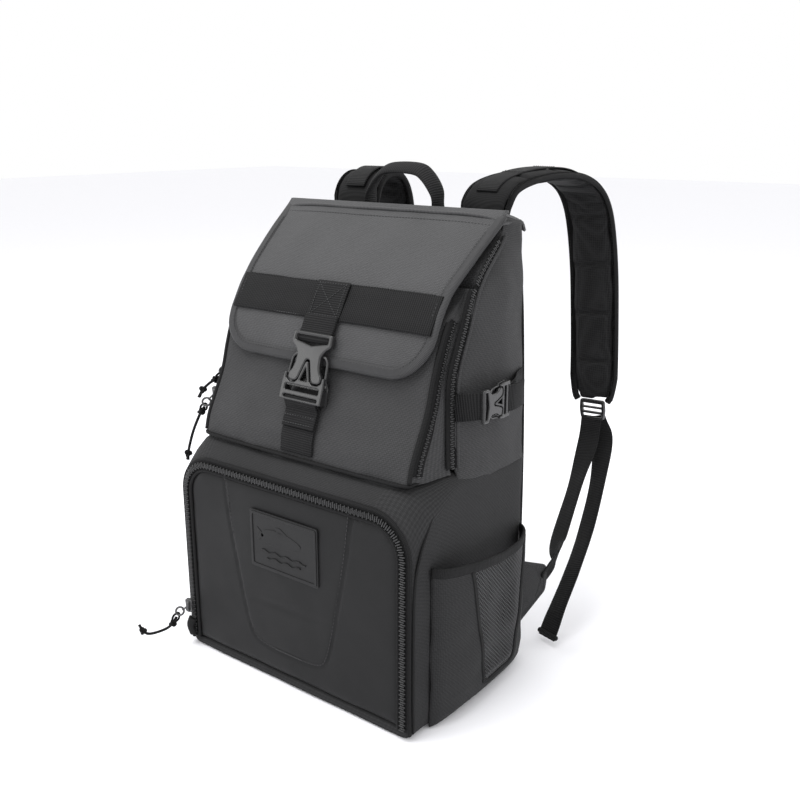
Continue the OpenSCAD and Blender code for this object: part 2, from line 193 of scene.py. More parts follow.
def open_arch(half, bottom, top, r, step=2.5):
    """Line from the left foot over the rounded top to the right foot, [x, z]"""
    line = [(-half, bottom)] + arc(r - half, top - r, r, 180, 90, 14)
    line += arc(half - r, top - r, r, 90, 0, 14) + [(half, bottom)]
    return resample(line, step)


def placed(name, data, body=None):
    """New object in the scene, on its body if it has one"""
    made = bpy.data.objects.new(name, data)
    bpy.context.scene.collection.objects.link(made)
    if body:
        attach(made, body)
    material = next(iter(getattr(data, "materials", ())), None)
    return made


def make(name, verts, faces, material, body=None, uvs=None):
    """Smooth mesh from millimetre points"""
    data = bpy.data.meshes.new(name)
    data.from_pydata([tuple(float(c) * MM for c in v) for v in verts], [], faces)
    if uvs:
        layer = data.uv_layers.new(name="UVMap")
        layer.data.foreach_set("uv", [c * MM for face in uvs for pair in face for c in pair])
    data.materials.append(material)
    data.polygons.foreach_set("use_smooth", [True] * len(data.polygons))
    data.update()
    return placed(name, data, body)


def skin(name, rows, material, body=None, around=False, ends=False, flip=False):
    """Sheet through rows of points, with its texture laid out in real lengths"""
    rows = np.array(rows, float)
    count, width = rows.shape[:2]
    ring = np.concatenate([rows, rows[:, :1]], axis=1) if around else rows
    along_u, along_v = distances(ring[count // 2]), distances(rows[:, width // 2])
    faces, uvs = [], []
    for i in range(count - 1):
        for j in range(width if around else width - 1):
            k = (j + 1) % width
            face = [i * width + j, i * width + k, (i + 1) * width + k, (i + 1) * width + j]
            uv = [(along_u[j], along_v[i]), (along_u[j + 1], along_v[i]),
                  (along_u[j + 1], along_v[i + 1]), (along_u[j], along_v[i + 1])]
            faces.append(face[::-1] if flip else face)
            uvs.append(uv[::-1] if flip else uv)
    if ends:
        first = list(range(width))
        last = [(count - 1) * width + j for j in range(width)]
        for face in ((first, last[::-1]) if flip else (first[::-1], last)):
            faces.append(face)
            uvs.append([(along_u[j % width], 0) for j in range(width)])
    return make(name, rows.reshape(-1, 3), faces, material, body, uvs)


def finished(obj):
    """Turns an object's modifiers into plain mesh"""
    graph = bpy.context.evaluated_depsgraph_get()
    graph.update()
    data = bpy.data.meshes.new_from_object(obj.evaluated_get(graph))
    obj.modifiers.clear()
    obj.data = data
    return obj


def thicken(obj, thick, offset=0.0, inside=None):
    """Gives a sheet its thickness, with a lining material on its inner face"""
    if inside:
        obj.data.materials.append(inside)
    solid = obj.modifiers.new("thickness", "SOLIDIFY")
    solid.thickness = thick * MM
    solid.offset = offset
    if inside:
        solid.material_offset = 1
    return finished(obj)


def rumple(obj, amount, scale, seed):
    """Soft dents of a used cloth: vertices move a little along their normals"""
    floor_gap = 0.4
    data = obj.data
    shift = Vector((seed, seed * 1.7, -seed))
    for v in data.vertices:
        p = v.co / MM
        wave = noise.noise(p / scale + shift) + 0.45 * noise.noise(p / scale * 2.3 - shift)
        moved = v.co + v.normal * wave * amount * MM
        if moved.z > floor_gap * MM:
            v.co = moved
    data.update()
    return obj


def cloth(name, rows, material, body, nodes, thick, dents=None, offset=-1, inside=True, **laid):
    """Cloth panel with dents (size, spacing, seed) and a lined inner face, for CAD nodes"""
    panel = skin(name, rows, material, **laid)
    if dents:
        rumple(panel, *dents)
    thicken(panel, thick, offset, LINING if inside else None)
    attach(panel, body)
    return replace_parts(panel, *nodes)


def frames(path, up=None, wide=None):
    """Side and normal at each point of a path, from an up or a wide direction"""
    path = np.array(path, float)
    ahead = directions(path)
    if up is None and wide is None:
        normals, normal = [], np.array([0.31, 0.53, 0.79])
        for direction in ahead:
            normal = normal - direction * (normal @ direction)
            normal = normal / np.linalg.norm(normal)
            normals.append(normal)
        normal = np.array(normals)
    elif wide is not None:
        normal = np.cross(ahead, np.broadcast_to(np.array(wide, float), path.shape))
    else:
        up = np.broadcast_to(np.array(up, float), path.shape)
        normal = up - ahead * np.sum(up * ahead, axis=1)[:, None]
    normal = normal / np.linalg.norm(normal, axis=1)[:, None]
    return np.cross(normal, ahead), normal


def sweep(name, path, section, material, body=None, up=None, wide=None, around=False):
    """Closed section, [across, out], carried along a path"""
    path = np.array(path, float)
    side, normal = frames(path, up, wide)
    rows = [[path[i] + a * side[i] + b * normal[i] for a, b in section] for i in range(len(path))]
    if around:
        rows.append(rows[0])
    return skin(name, rows, material, body, around=True, ends=not around, flip=True)


def circle(r, sides=8, squash=1.0):
    return [(r * cos(t), r * squash * sin(t))
            for t in np.linspace(0, 2 * pi, sides, endpoint=False)]


def flat(width, thick):
    """Webbing or tape section with soft edges"""
    a, b = width / 2, thick / 2
    right = [(a - b, b), (a, b * 0.45), (a, -b * 0.45), (a - b, -b)]
    mid = [(x * a, -b) for x in (0.4, -0.4)]
    left = [(-x, -y) for x, y in right]
    return right + mid + left + [(-x, -y) for x, y in mid]


def joined(name, parts, body=None):
    """One object from several, keeping their materials"""
    whole = bmesh.new()
    materials, uv_name = [], "UVMap"
    uv = whole.loops.layers.uv.new(uv_name)
    for part in parts:
        piece = bmesh.new()
        piece.from_mesh(part.data)
        bmesh.ops.transform(piece, matrix=part.matrix_world, verts=piece.verts)
        piece_uv = piece.loops.layers.uv.get(uv_name)
        slots = []
        for m in part.data.materials:
            if m not in materials:
                materials.append(m)
            slots.append(materials.index(m))
        fresh = {v: whole.verts.new(v.co) for v in piece.verts}
        for face in piece.faces:
            try:
                new = whole.faces.new([fresh[v] for v in face.verts])
            except ValueError:
                continue
            new.material_index = slots[face.material_index]
            new.smooth = face.smooth
            if piece_uv:
                for a, b in zip(new.loops, face.loops):
                    a[uv].uv = b[piece_uv].uv
        piece.free()
    data = bpy.data.meshes.new(name)
    whole.to_mesh(data)
    whole.free()
    for m in materials:
        data.materials.append(m)
    for part in parts:
        bpy.data.objects.remove(part)
    return placed(name, data, body)


def plate(name, loops, thick, material, place, rounding=0.8, body=None):
    """Moulded plate: outlines with holes, in a local plane, with rounded edges"""
    curve = bpy.data.curves.new(name, "CURVE")
    curve.dimensions = "2D"
    curve.fill_mode = "BOTH"
    curve.extrude = (thick / 2 - rounding) * MM
    curve.bevel_depth = rounding * MM
    curve.bevel_resolution = 2
    curve.offset = -rounding * MM
    for loop in loops:
        spline = curve.splines.new("POLY")
        spline.points.add(len(loop) - 1)
        spline.use_cyclic_u = True
        for point, (x, y) in zip(spline.points, loop):
            point.co = (x * MM, y * MM, 0, 1)
    shape = placed(name + "_outline", curve)
    graph = bpy.context.evaluated_depsgraph_get()
    graph.update()
    data = bpy.data.meshes.new_from_object(shape.evaluated_get(graph))
    bpy.data.objects.remove(shape)
    data.name = name
    data.materials.clear()
    data.materials.append(material)
    scaled = place.copy()
    scaled.translation = scaled.translation * MM
    data.transform(scaled)
    # Only the small faces of the rounding are shaded smooth
    for p in data.polygons:
        p.use_smooth = p.area < 4e-6
    return placed(name, data, body)


def cornered(points, r, count=5):
    """Closed outline with each corner rounded by up to r"""
    out = []
    p = [np.array(q, float) for q in points]
    for i in range(len(p)):
        a, b, c = p[i - 1], p[i], p[(i + 1) % len(p)]
        u, v = a - b, c - b
        lu, lv = np.linalg.norm(u), np.linalg.norm(v)
        cut = min(r, lu * 0.45, lv * 0.45)
        start, end = b + u / lu * cut, b + v / lv * cut
        for t in np.linspace(0, 1, count):
            out.append(tuple((1 - t) ** 2 * start + 2 * t * (1 - t) * b + t * t * end))
    return out


def rectangle(w, h, r, cx=0.0, cy=0.0, count=5):
    x, y = w / 2, h / 2
    return cornered([(cx - x, cy - y), (cx + x, cy - y), (cx + x, cy + y), (cx - x, cy + y)], r,
                    count)


def both_sides(half, shared=0):
    """Closed outline from its right half; its last points are shared if they are on the axis"""
    return half + [(-x, y) for x, y in half[::-1][shared:]]


def turned(degrees, axis):
    return Matrix.Rotation(radians(degrees), 4, axis)


def moved(x, y, z):
    return Matrix.Translation((x, y, z))


UPRIGHT = turned(90, "X")


# ------------------------------------------------------------------ materials
def node(tree, kind, inputs=None, **settings):
    made = tree.nodes.new("ShaderNode" + kind)
    for key, value in settings.items():
        setattr(made, key, value)
    for key, value in (inputs or {}).items():
        if isinstance(value, bpy.types.NodeSocket):
            tree.links.new(value, made.inputs[key])
        else:
            made.inputs[key].default_value = value
    return made


def grey(level, tint=(1.0, 1.0, 1.03)):
    return (level * tint[0], level * tint[1], level * tint[2], 1)


def bands(tree, coords, period, direction="X", distortion=0.0):
    """Stripes with a real period in millimetres"""
    wave_scale = 0.314  # Blender's wave has about 3.2 stripes per unit at scale 1
    return node(tree, "TexWave", {"Vector": coords, "Scale": wave_scale / (period * MM),
                                  "Distortion": distortion},
                bands_direction=direction).outputs["Fac"]


def math_node(tree, operation, a, b):
    return node(tree, "Math", {0: a, 1: b}, operation=operation).outputs[0]


def finish_material(name, dark, light, pattern, rough, bump, sheen=0.0, spread=0.35,
                    laid="UV", specular=0.1, wear=0.0):
    """Material from a height pattern: pattern(tree, coords) gives a 0-1 socket"""
    gloss_spread = 0.1
    material = bpy.data.materials.new(name)
    material.use_nodes = True
    tree = material.node_tree
    surface = tree.nodes["Principled BSDF"]
    place = node(tree, "TexCoord")
    coords = place.outputs[laid]
    height = pattern(tree, coords)
    cloud = node(tree, "TexNoise", {"Vector": place.outputs["Object"], "Scale": 14.0,
                                    "Detail": 4.0, "Roughness": 0.6}).outputs["Fac"]
    grain = node(tree, "TexNoise", {"Vector": place.outputs["Object"], "Scale": 900.0,
                                    "Detail": 2.0}).outputs["Fac"]
    blend = math_node(tree, "MULTIPLY", height, 1 - spread)
    blend = math_node(tree, "ADD", blend, math_node(tree, "MULTIPLY", cloud, spread))
    mix = node(tree, "Mix", {"Factor": blend, "A": grey(dark), "B": grey(light)},
               data_type="RGBA")
    colour = mix.outputs["Result"]
    if wear:
        edge = node(tree, "NewGeometry").outputs["Pointiness"]
        ramp = node(tree, "MapRange", {"Value": edge, "From Min": 0.52, "From Max": 0.62,
                                       "To Max": wear}).outputs["Result"]
        colour = node(tree, "Mix", {"Factor": ramp, "A": colour, "B": grey(light * 2.4)},
                      data_type="RGBA").outputs["Result"]
    tree.links.new(colour, surface.inputs["Base Color"])
    shine = node(tree, "MapRange", {"Value": cloud, "From Min": 0.3, "From Max": 0.7,
                                    "To Min": rough - gloss_spread,
                                    "To Max": rough + gloss_spread}).outputs["Result"]
    tree.links.new(shine, surface.inputs["Roughness"])
    relief = math_node(tree, "ADD", height, math_node(tree, "MULTIPLY", grain, 0.35))
    dent = node(tree, "Bump", {"Height": relief, "Strength": min(1.0, bump),
                               "Distance": 0.0005})
    tree.links.new(dent.outputs["Normal"], surface.inputs["Normal"])
    surface.inputs["Specular IOR Level"].default_value = specular
    surface.inputs["Sheen Weight"].default_value = sheen
    surface.inputs["Sheen Roughness"].default_value = 0.45
    return material


def oxford(period):
    """Plain weave of crossing yarns"""
    def pattern(tree, coords):
        return math_node(tree, "MULTIPLY", bands(tree, coords, period, "X"),
                         bands(tree, coords, period, "Y"))
    return pattern


def twill(period):
    """Coarse crossing yarns with faint slanting ribs and uneven thickness"""
    def pattern(tree, coords):
        weave = math_node(tree, "MULTIPLY", bands(tree, coords, period, "X", 1.2),
                          bands(tree, coords, period, "Y", 1.2))
        ribs = bands(tree, coords, period * 1.3, "DIAGONAL", 1.6)
        slub = node(tree, "TexNoise", {"Vector": coords, "Scale": 420.0,
                                       "Detail": 3.0}).outputs["Fac"]
        even = math_node(tree, "ADD", math_node(tree, "MULTIPLY", weave, 0.5),
                         math_node(tree, "MULTIPLY", ribs, 0.15))
        return math_node(tree, "ADD", even, math_node(tree, "MULTIPLY", slub, 0.35))
    return pattern


def rib_tape(period):
    """Cross ribs of webbing, with the long yarns showing faintly"""
    def pattern(tree, coords):
        ribs = bands(tree, coords, period, "Y", 0.3)
        yarns = bands(tree, coords, period * 0.9, "X")
        return math_node(tree, "ADD", math_node(tree, "MULTIPLY", ribs, 0.75),
                         math_node(tree, "MULTIPLY", yarns, 0.25))
    return pattern


def cells(size):
    """Knitted spacer mesh: round holes in rows"""
    def pattern(tree, coords):
        return node(tree, "TexVoronoi", {"Vector": coords, "Scale": 1 / (size * MM),
                                         "Randomness": 0.15}).outputs["Distance"]
    return pattern


def grainy(scale):
    """Fine moulded or pressed grain"""
    def pattern(tree, coords):
        return node(tree, "TexNoise", {"Vector": coords, "Scale": scale, "Detail": 5.0,
                                       "Roughness": 0.65}).outputs["Fac"]
    return pattern


def braid(period):
    """Rounded bumps of a braided cord"""
    def pattern(tree, coords):
        return node(tree, "TexVoronoi", {"Vector": coords, "Scale": 1 / (period * MM)},
                    feature="SMOOTH_F1").outputs["Distance"]
    return pattern


FABRIC = finish_material("twill_cloth", 0.010, 0.112, twill(1.7), 0.7, 0.9,
                         sheen=0.05, specular=0.22)
SIDE_CLOTH = finish_material("side_cloth", 0.008, 0.080, twill(1.7), 0.72, 0.9,
                             sheen=0.03, specular=0.16)
LAMINATE = finish_material("laminated_cloth", 0.008, 0.020, oxford(0.9), 0.5, 0.2,
                           spread=0.6, specular=0.13)
BAY_CLOTH = finish_material("bay_cloth", 0.006, 0.052, twill(1.6), 0.72, 0.8,
                            sheen=0.02)
LINING = finish_material("lining_cloth", 0.02, 0.05, oxford(1.1), 0.7, 0.3)
PAD_CLOTH = finish_material("pad_cloth", 0.006, 0.022, oxford(1.3), 0.78, 0.5,
                            sheen=0.02, laid="Object")
AIR_MESH = finish_material("spacer_mesh", 0.003, 0.032, cells(2.6), 0.8, 1.0,
                           sheen=0.02, laid="Object", spread=0.15)
NET = finish_material("pocket_net", 0.07, 0.15, grainy(700.0), 0.6, 0.4)
WEBBING = finish_material("webbing_ribs", 0.003, 0.022, rib_tape(2.2), 0.62, 0.9,
                          spread=0.2)
BINDING = finish_material("binding_tape", 0.004, 0.020, rib_tape(1.3), 0.64, 0.6)
EDGE_TAPE = finish_material("edge_tape", 0.012, 0.078, rib_tape(1.3), 0.68, 0.6,
                            sheen=0.03, specular=0.16)
BOARD = finish_material("stiffener_sheet", 0.05, 0.09, grainy(160.0), 0.55, 0.3,
                        laid="Object")
PLASTIC = finish_material("moulded_plastic", 0.010, 0.018, grainy(420.0), 0.28,
                          0.12, laid="Object", specular=0.6, wear=0.5)
TAPE = finish_material("zip_tape", 0.003, 0.014, rib_tape(0.9), 0.7, 0.5)
COIL = finish_material("zip_coil", 0.010, 0.032, grainy(600.0), 0.3, 0.1,
                       laid="Object", specular=0.4)
METAL = finish_material("slider_metal", 0.012, 0.04, grainy(500.0), 0.36, 0.2,
                        laid="Object", specular=0.8, wear=0.6)
RUBBER = finish_material("badge_rubber", 0.006, 0.015, grainy(500.0), 0.42, 0.2,
                         laid="Object", specular=0.2, wear=0.4)
CORD = finish_material("braided_cord", 0.003, 0.016, braid(1.1), 0.6, 0.9,
                       laid="Object")
THREAD = finish_material("thread", 0.03, 0.075, grainy(1500.0), 0.5, 0.3, laid="Object")


# --------------------------------------------------------- camera and lights
camera_data = bpy.data.cameras.new("camera")
camera_data.lens = 42.5
camera_data.sensor_width = 36
camera = placed("camera", camera_data)
camera.location = (0.588, -0.6906, 0.540)
camera.rotation_euler = (radians(73.8), 0, radians(37.3))
bpy.context.scene.camera = camera
bpy.context.scene.view_settings.view_transform = "Standard"


def soft_light(name, place, target, size, power):
    data = bpy.data.lights.new(name, "AREA")
    data.shape = "SQUARE"
    data.size = size
    data.energy = power
    light = placed(name, data)
    light.location = place
    light.rotation_euler = (Vector(target) - Vector(place)).to_track_quat("-Z", "Y").to_euler()


middle = (cad_low + cad_high) / 2
soft_light("top_light", (-0.3, -0.4, 2.0), middle, 1.4, 28)
soft_light("left_light", (-1.4, -1.7, 1.2), middle, 1.2, 11)
soft_light("right_light", (1.9, -0.3, 1.0), middle, 1.2, 6)
soft_light("rear_light", (0.6, 1.8, 1.3), middle, 1.2, 6)

world = bpy.data.worlds.new("studio")
world.use_nodes = True
background = world.node_tree.nodes["Background"]
background.inputs["Color"].default_value = (1, 1, 1, 1)
background.inputs["Strength"].default_value = 1.0
bpy.context.scene.world = world

floor_size = 9000
floor_material = finish_material("floor_paper", 0.93, 0.97, grainy(30.0), 0.9, 0.02,
                                 laid="Object")
floor = make("floor", [(x * floor_size, y * floor_size, 0)
                       for x, y in ((-1, -1), (1, -1), (1, 1), (-1, 1))],
             [(0, 1, 2, 3)], floor_material)


# --------------------------------------------------------------- cords: pulls
def knot(name, at, size, body, turn=0.0):
    """Overhand knot pulled tight: a three-lobed closed cord"""
    t = np.linspace(0, 2 * pi, 40, endpoint=False)
    line = np.column_stack([
        (np.sin(t) + 2 * np.sin(2 * t)) * size, (np.cos(t) - 2 * np.cos(2 * t)) * size,
        -np.sin(3 * t) * size * 1.1,
    ])
    spin = np.array(Matrix.Rotation(turn, 3, "X") @ Matrix.Rotation(0.6, 3, "Y"))
    line = line @ spin.T + np.array(at)
    return sweep(name, line, circle(1.45), CORD, body, around=True)


def pull(name, body, route, node_name, knots_at, loop_from):
    """Cord pull: a loop through the ring, a knot, a single stem, an end knot and its tail"""
    route = [np.array(p, float) for p in route]
    line = smooth(route, 1.6)
    stem = sweep(name, line, circle(1.5, 10), CORD, body)
    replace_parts(stem, node_name)
    knots = [knot(f"{name}_knot_{i}", route[k] if k >= 0 else line[k], 1.05, body, i * 1.1)
             for i, k in enumerate(knots_at)]
    ring = np.array(loop_from, float)
    start = route[knots_at[0]]
    reach = start - ring
    across = np.cross(reach, (0, 0.6, 0.8))
    across = across / np.linalg.norm(across) * 3.2
    loop = smooth([start, start - reach * 0.5 + across, ring + across * 0.45,
                   ring - across * 0.45, start - reach * 0.5 - across, start], 1.2)
    knots.append(sweep(name + "_loop", loop, circle(1.2), CORD, body))
    # Metal link from the slider to the ring, on the axis the pull swings about
    low = box(name.replace("pull", "slider"))[0]
    anchor = np.array((low.x, low.y, low.z + 4.5))
    centre = np.array(sum(box(name + "_ring"), Vector()) / 2)
    toward = (centre - anchor) / np.linalg.norm(centre - anchor)
    sweep(name + "_link", [anchor - toward * 2.5, anchor, centre - toward * 3], circle(1.0),
          METAL, body)
    last, before = line[-1], line[-6]
    drop = (last - before) / np.linalg.norm(last - before)
    spread = np.cross(drop, (0.3, 0.8, 0.1))
    tail = smooth([last - drop * 9, last - drop * 5 + spread * 1.6, last - drop + spread * 3.4],
                  1.0)
    knots.append(sweep(name + "_tail", tail, circle(1.2), CORD, body))


door_pull_route = [
    (-154, -113, 33), (-157, -116, 26), (-161, -120, 21), (-168, -127, 17),
    (-176, -134, 15), (-180, -138, 19), (-183, -140, 26),
]
main_pull_route = [
    (-147, -40, 286), (-150, -44, 283), (-154, -49, 279), (-158, -54, 273), (-161, -58, 265),
]
pocket_pull_route = [
    (-142, -67, 260), (-145, -69, 255), (-150, -70, 246), (-158, -70, 232),
    (-165, -70, 216), (-169, -70, 204), (-171, -70, 197),
]
pull("door_pull", "door_pull", door_pull_route, "door_pull_cord", (1, 5), (-153, -111, 37))
pull("main_pull", "main_pull", main_pull_route, "main_pull_cord", (1, 3), (-145.5, -37.5, 290))
pull("pocket_pull", "pocket_pull", pocket_pull_route, "pocket_pull_cord", (1, 5),
     (-141, -66, 263))


# ------------------------------------------------------------------ tackle bay
def bay_shell():
    """Box of the tackle bay: front frame round the door, sloping roof, sides and base"""
    opening = (door_half + 0.6, 9.4, door_top + 0.6, door_r + 0.6, 5)
    sections = [
        (front_y + 12, opening), (front_y + 1, opening),
        (front_y - 0.4, (half_w - 3.5, 2.4, 216, 39, 8)),
        (front_y + 1.2, (half_w - 1, 0.6, 219.5, 41, 9)),
        (front_y + 4.5, (half_w, 0, 224, 42, 10)),
        (front_y + 14, (half_w, 0, 233, 40, 10)), (front_y + 24, (half_w, 0, 238.5, 37, 10)),
    ]
    sections += [(y, (half_w, 0, shelf_h + 2.4, max(14, 36 - 0.5 * (y - front_y - 24)), 10))
                 for y in np.linspace(front_y + 34, back_y - 14, 16)]
    sections += [(back_y - 6, (half_w - 1.5, 0.8, 236.5, 14, 10)),
                 (back_y - 1, (half_w - 7, 5, 231, 14, 8))]
    rows = []
    for y, (half, bottom, top, r, r_low) in sections:
        depth = sin(pi * (y - front_y) / (back_y - front_y)) if front_y < y < back_y else 0
        row = []
        for x, z in arch(half, bottom, top, r, r_low):
            swell = 3.2 * depth * sin(pi * min(1, max(0, z / 225))) * (abs(x) > half - 2)
            row.append((x + copysign(swell, x), y, z))
        rows.append(row)
    cloth("bay_shell", rows, BAY_CLOTH, "pack_shell",
          ("base_panel", "lower_side_left", "lower_side_right", "front_frame"),
          3, (0.9, 48, 2.0), around=True, flip=True)


def back_of_bag():
    """Back panel and the bound edges down its corners"""
    rows = []
    for z in np.linspace(5, top_h - 5, 60):
        edge = min(1, (z - 5) / 12, (top_h - 5 - z) / 12)
        half = (half_w - 6 - 8 * max(0, (z - shelf_h) / (top_h - shelf_h))) - 5 * (1 - edge) ** 2
        rows.append([(half * u, back_y + 0.6 - 5 * abs(u) ** 12 - 4 * (1 - edge) ** 2, z)
                     for u in np.linspace(-1, 1, 50)])
    cloth("back_skin", rows, SIDE_CLOTH, "pack_shell", ["back_panel"], 2, (0.6, 60, 5.0),
          flip=True)
    for side, name in SIDES:
        line = smooth([(side * (half_w - inward), back_y - forward, z) for inward, forward, z in (
            (4.5, 2.8, 8), (4, 2.6, 120), (5.2, 2.8, shelf_h), (10, 3.2, 360),
            (16.5, 5, top_h - 17))], 6)
        sweep(f"back_piping_{name}", line, flat(8, 3.8), BINDING, "pack_shell",
              up=(side * 0.7, 0.7, 0))


def gusset(side, name):
    """Upper side of the bag, from the main zip round to the back"""
    base_z, base_x = (222, 245, 300, 400, 463), (148.8, 146.5, 144, 141, 136)
    zip_x = (148.8, 141, 137.5, 136.5, 134)
    rows = []
    for t in np.linspace(0, 1, 40):
        z_front = shelf_h - 12 + t * (top_h - 2 - shelf_h + 12)
        z_back = shelf_h - 12 + t * (top_h - 8 - shelf_h + 12)
        y0, y1 = zip_y(z_front) + 1.5, back_y - 12
        row = []
        for u in np.linspace(0, 1, 26):
            z = z_front + (z_back - z_front) * u
            x0, x1 = np.interp(z, base_z, zip_x), np.interp(z, base_z, base_x)
            x = x0 + (x1 - x0) * sin(pi / 2 * min(1, u * 1.6))
            x += 7.5 * sin(pi * u) * sin(pi * min(1, t * 1.08)) ** 0.8
            row.append((side * x, y0 + (y1 - y0) * u, z))
        corner = [(side * (x1 - back_r + back_r * cos(a)), y1 + back_r * sin(a), z_back)
                  for a in np.radians((20, 40, 60, 80))]
        rows.append(row + corner)
    cloth(f"gusset_{name}", rows, SIDE_CLOTH, "pack_shell", [f"upper_side_{name}"], 2.5,
          (2.4, 46, 3.0 + side), flip=side < 0)


def zip_tape(name, path, normals, width, body):
    tape = sweep(name, path, flat(width, 1.0), TAPE, body, up=normals)
    return tape


def zip_coil(name, path, normals, body, width=5.0, pitch=2.1, lift=1.2):
    """Row of zip teeth: short rounded bars, alternately shifted across the line"""
    path = resample(path, pitch)
    side, normal = frames(path, up=normals)
    ahead = directions(path)
    section = [(cos(a), sin(a)) for a in np.radians(range(0, 360, 60))]
    reach, thick, tall, stagger = 0.86, 0.78, 0.95, 0.55
    verts, faces = [], []
    for i, point in enumerate(path):
        shift = stagger if i % 2 else -stagger
        start = len(verts)
        for end, r in ((-1, 0.75), (-0.72, 1), (0.72, 1), (1, 0.75)):
            centre = point + side[i] * (end * width / 2 * reach + shift) + normal[i] * lift
            for a, b in section:
                verts.append(centre + ahead[i] * a * r * thick + normal[i] * b * r * tall)
        for ring in range(3):
            for k in range(6):
                a, b = start + ring * 6 + k, start + ring * 6 + (k + 1) % 6
                faces.append((a, b, b + 6, a + 6))
        faces.append(tuple(start + k for k in range(5, -1, -1)))
        faces.append(tuple(start + 18 + k for k in range(6)))
    coil = make(name, verts, faces, COIL, body)
    return coil


def stitches(name, paths, normals, body, pitch=3.6, lift=0.25):
    """Rows of thread stitches lying on a cloth; each path has its own normal"""
    half_length, half_width, half_height, sink = 0.36 * pitch, 0.42, 0.34, 0.2
    verts, faces = [], []
    for path, up in zip(paths, normals):
        path = np.array(path, float)
        both = resample(np.hstack([path, np.broadcast_to(np.array(up, float), path.shape)]), pitch)
        line = both[:, :3]
        side, normal = frames(line, up=both[:, 3:])
        ahead = directions(line)
        for i, point in enumerate(line):
            start = len(verts)
            for along, r in ((-1, 0.35), (-0.5, 1), (0.5, 1), (1, 0.35)):
                rise = lift - sink if r < 1 else lift
                centre = point + ahead[i] * along * half_length + normal[i] * rise
                for a in np.radians((0, 90, 180, 270)):
                    verts.append(centre + side[i] * cos(a) * half_width * r
                                 + normal[i] * sin(a) * half_height * r)
            for ring in range(3):
                for k in range(4):
                    a, b = start + ring * 4 + k, start + ring * 4 + (k + 1) % 4
                    faces.append((a, b, b + 4, a + 4))
    return make(name, verts, faces, THREAD, body)


def in_front(line, y):
    """An [x, z] line laid in the upright plane at y"""
    return np.array([(x, y, z) for x, z in line])


def bay_front_zip():
    """Zip tape and piping on the frame round the door"""
    tape_line = in_front(open_arch(door_half + 3.2, 9, door_top + 2.2, door_r + 3), front_y - 0.9)
    tape = zip_tape("door_frame_tape", tape_line, FORWARD, 7.5, "pack_shell")
    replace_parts(tape, "door_zip_frame")
    rim = in_front(open_arch(half_w - 2.2, 6, 218, 41, 5), front_y + 0.6)
    sweep("bay_front_piping", rim, circle(2.1), BINDING, "pack_shell", up=FORWARD)
    row = in_front(open_arch(door_half + 6.0, 9, door_top + 4.8, door_r + 6), front_y - 0.75)
    stitches("door_frame_stitches", [row], [FORWARD], "pack_shell")


def roof_seam():
    """Piping where the front pocket is sewn to the bay's roof, and down the bay's front corners"""
    left = above(shelf_h, (-132, -40, 3.4), (-131, -66, 3), (-122, -79.5, 2.6), (-60, -82, 2.6))
    right = [(-x, y, z) for x, y, z in left[::-1]]
    line = smooth(left + [(0, -82.5, shelf_h + 2.6)] + right, 4)
    sweep("roof_piping", line, circle(1.7), BINDING, "pack_shell")
    for side, name in SIDES:
        seam = smooth([(side * x, y, z) for x, y, z in (
            (137.4, -24, 238), (140.4, -40, 232), (145.6, -58, 218), (148.4, -74, 200),
            (149, -85, 182), (148.6, -93, 150), (148.4, -94, 60), (148, -93, 8))], 4)
        fold = sweep(f"side_seam_{name}", seam, circle(1.3, 6), BINDING, "pack_shell")


def shelf():
    # Narrower at the front, where the roof's shoulders are round
    outline = cornered([(-122, -68), (122, -68), (138, -22), (138, 89), (-138, 89),
                        (-138, -22)], 10)
    board = plate("shelf_panel", [outline], 3.6, LINING,
                  moved(0, 0, shelf_h - 2), 1.2, "pack_shell")
    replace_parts(board, "divider_shelf")


# ------------------------------------------------------------------------ door
shield_line = [(83, 207), (76, 160), (66, 112), (58, 74), (50, 48), (40, 39), (18, 36)]


def shield():
    right = smooth(shield_line + [(-18, 36)], 2.0)
    return both_sides([(x, z) for x, z in right], 1)


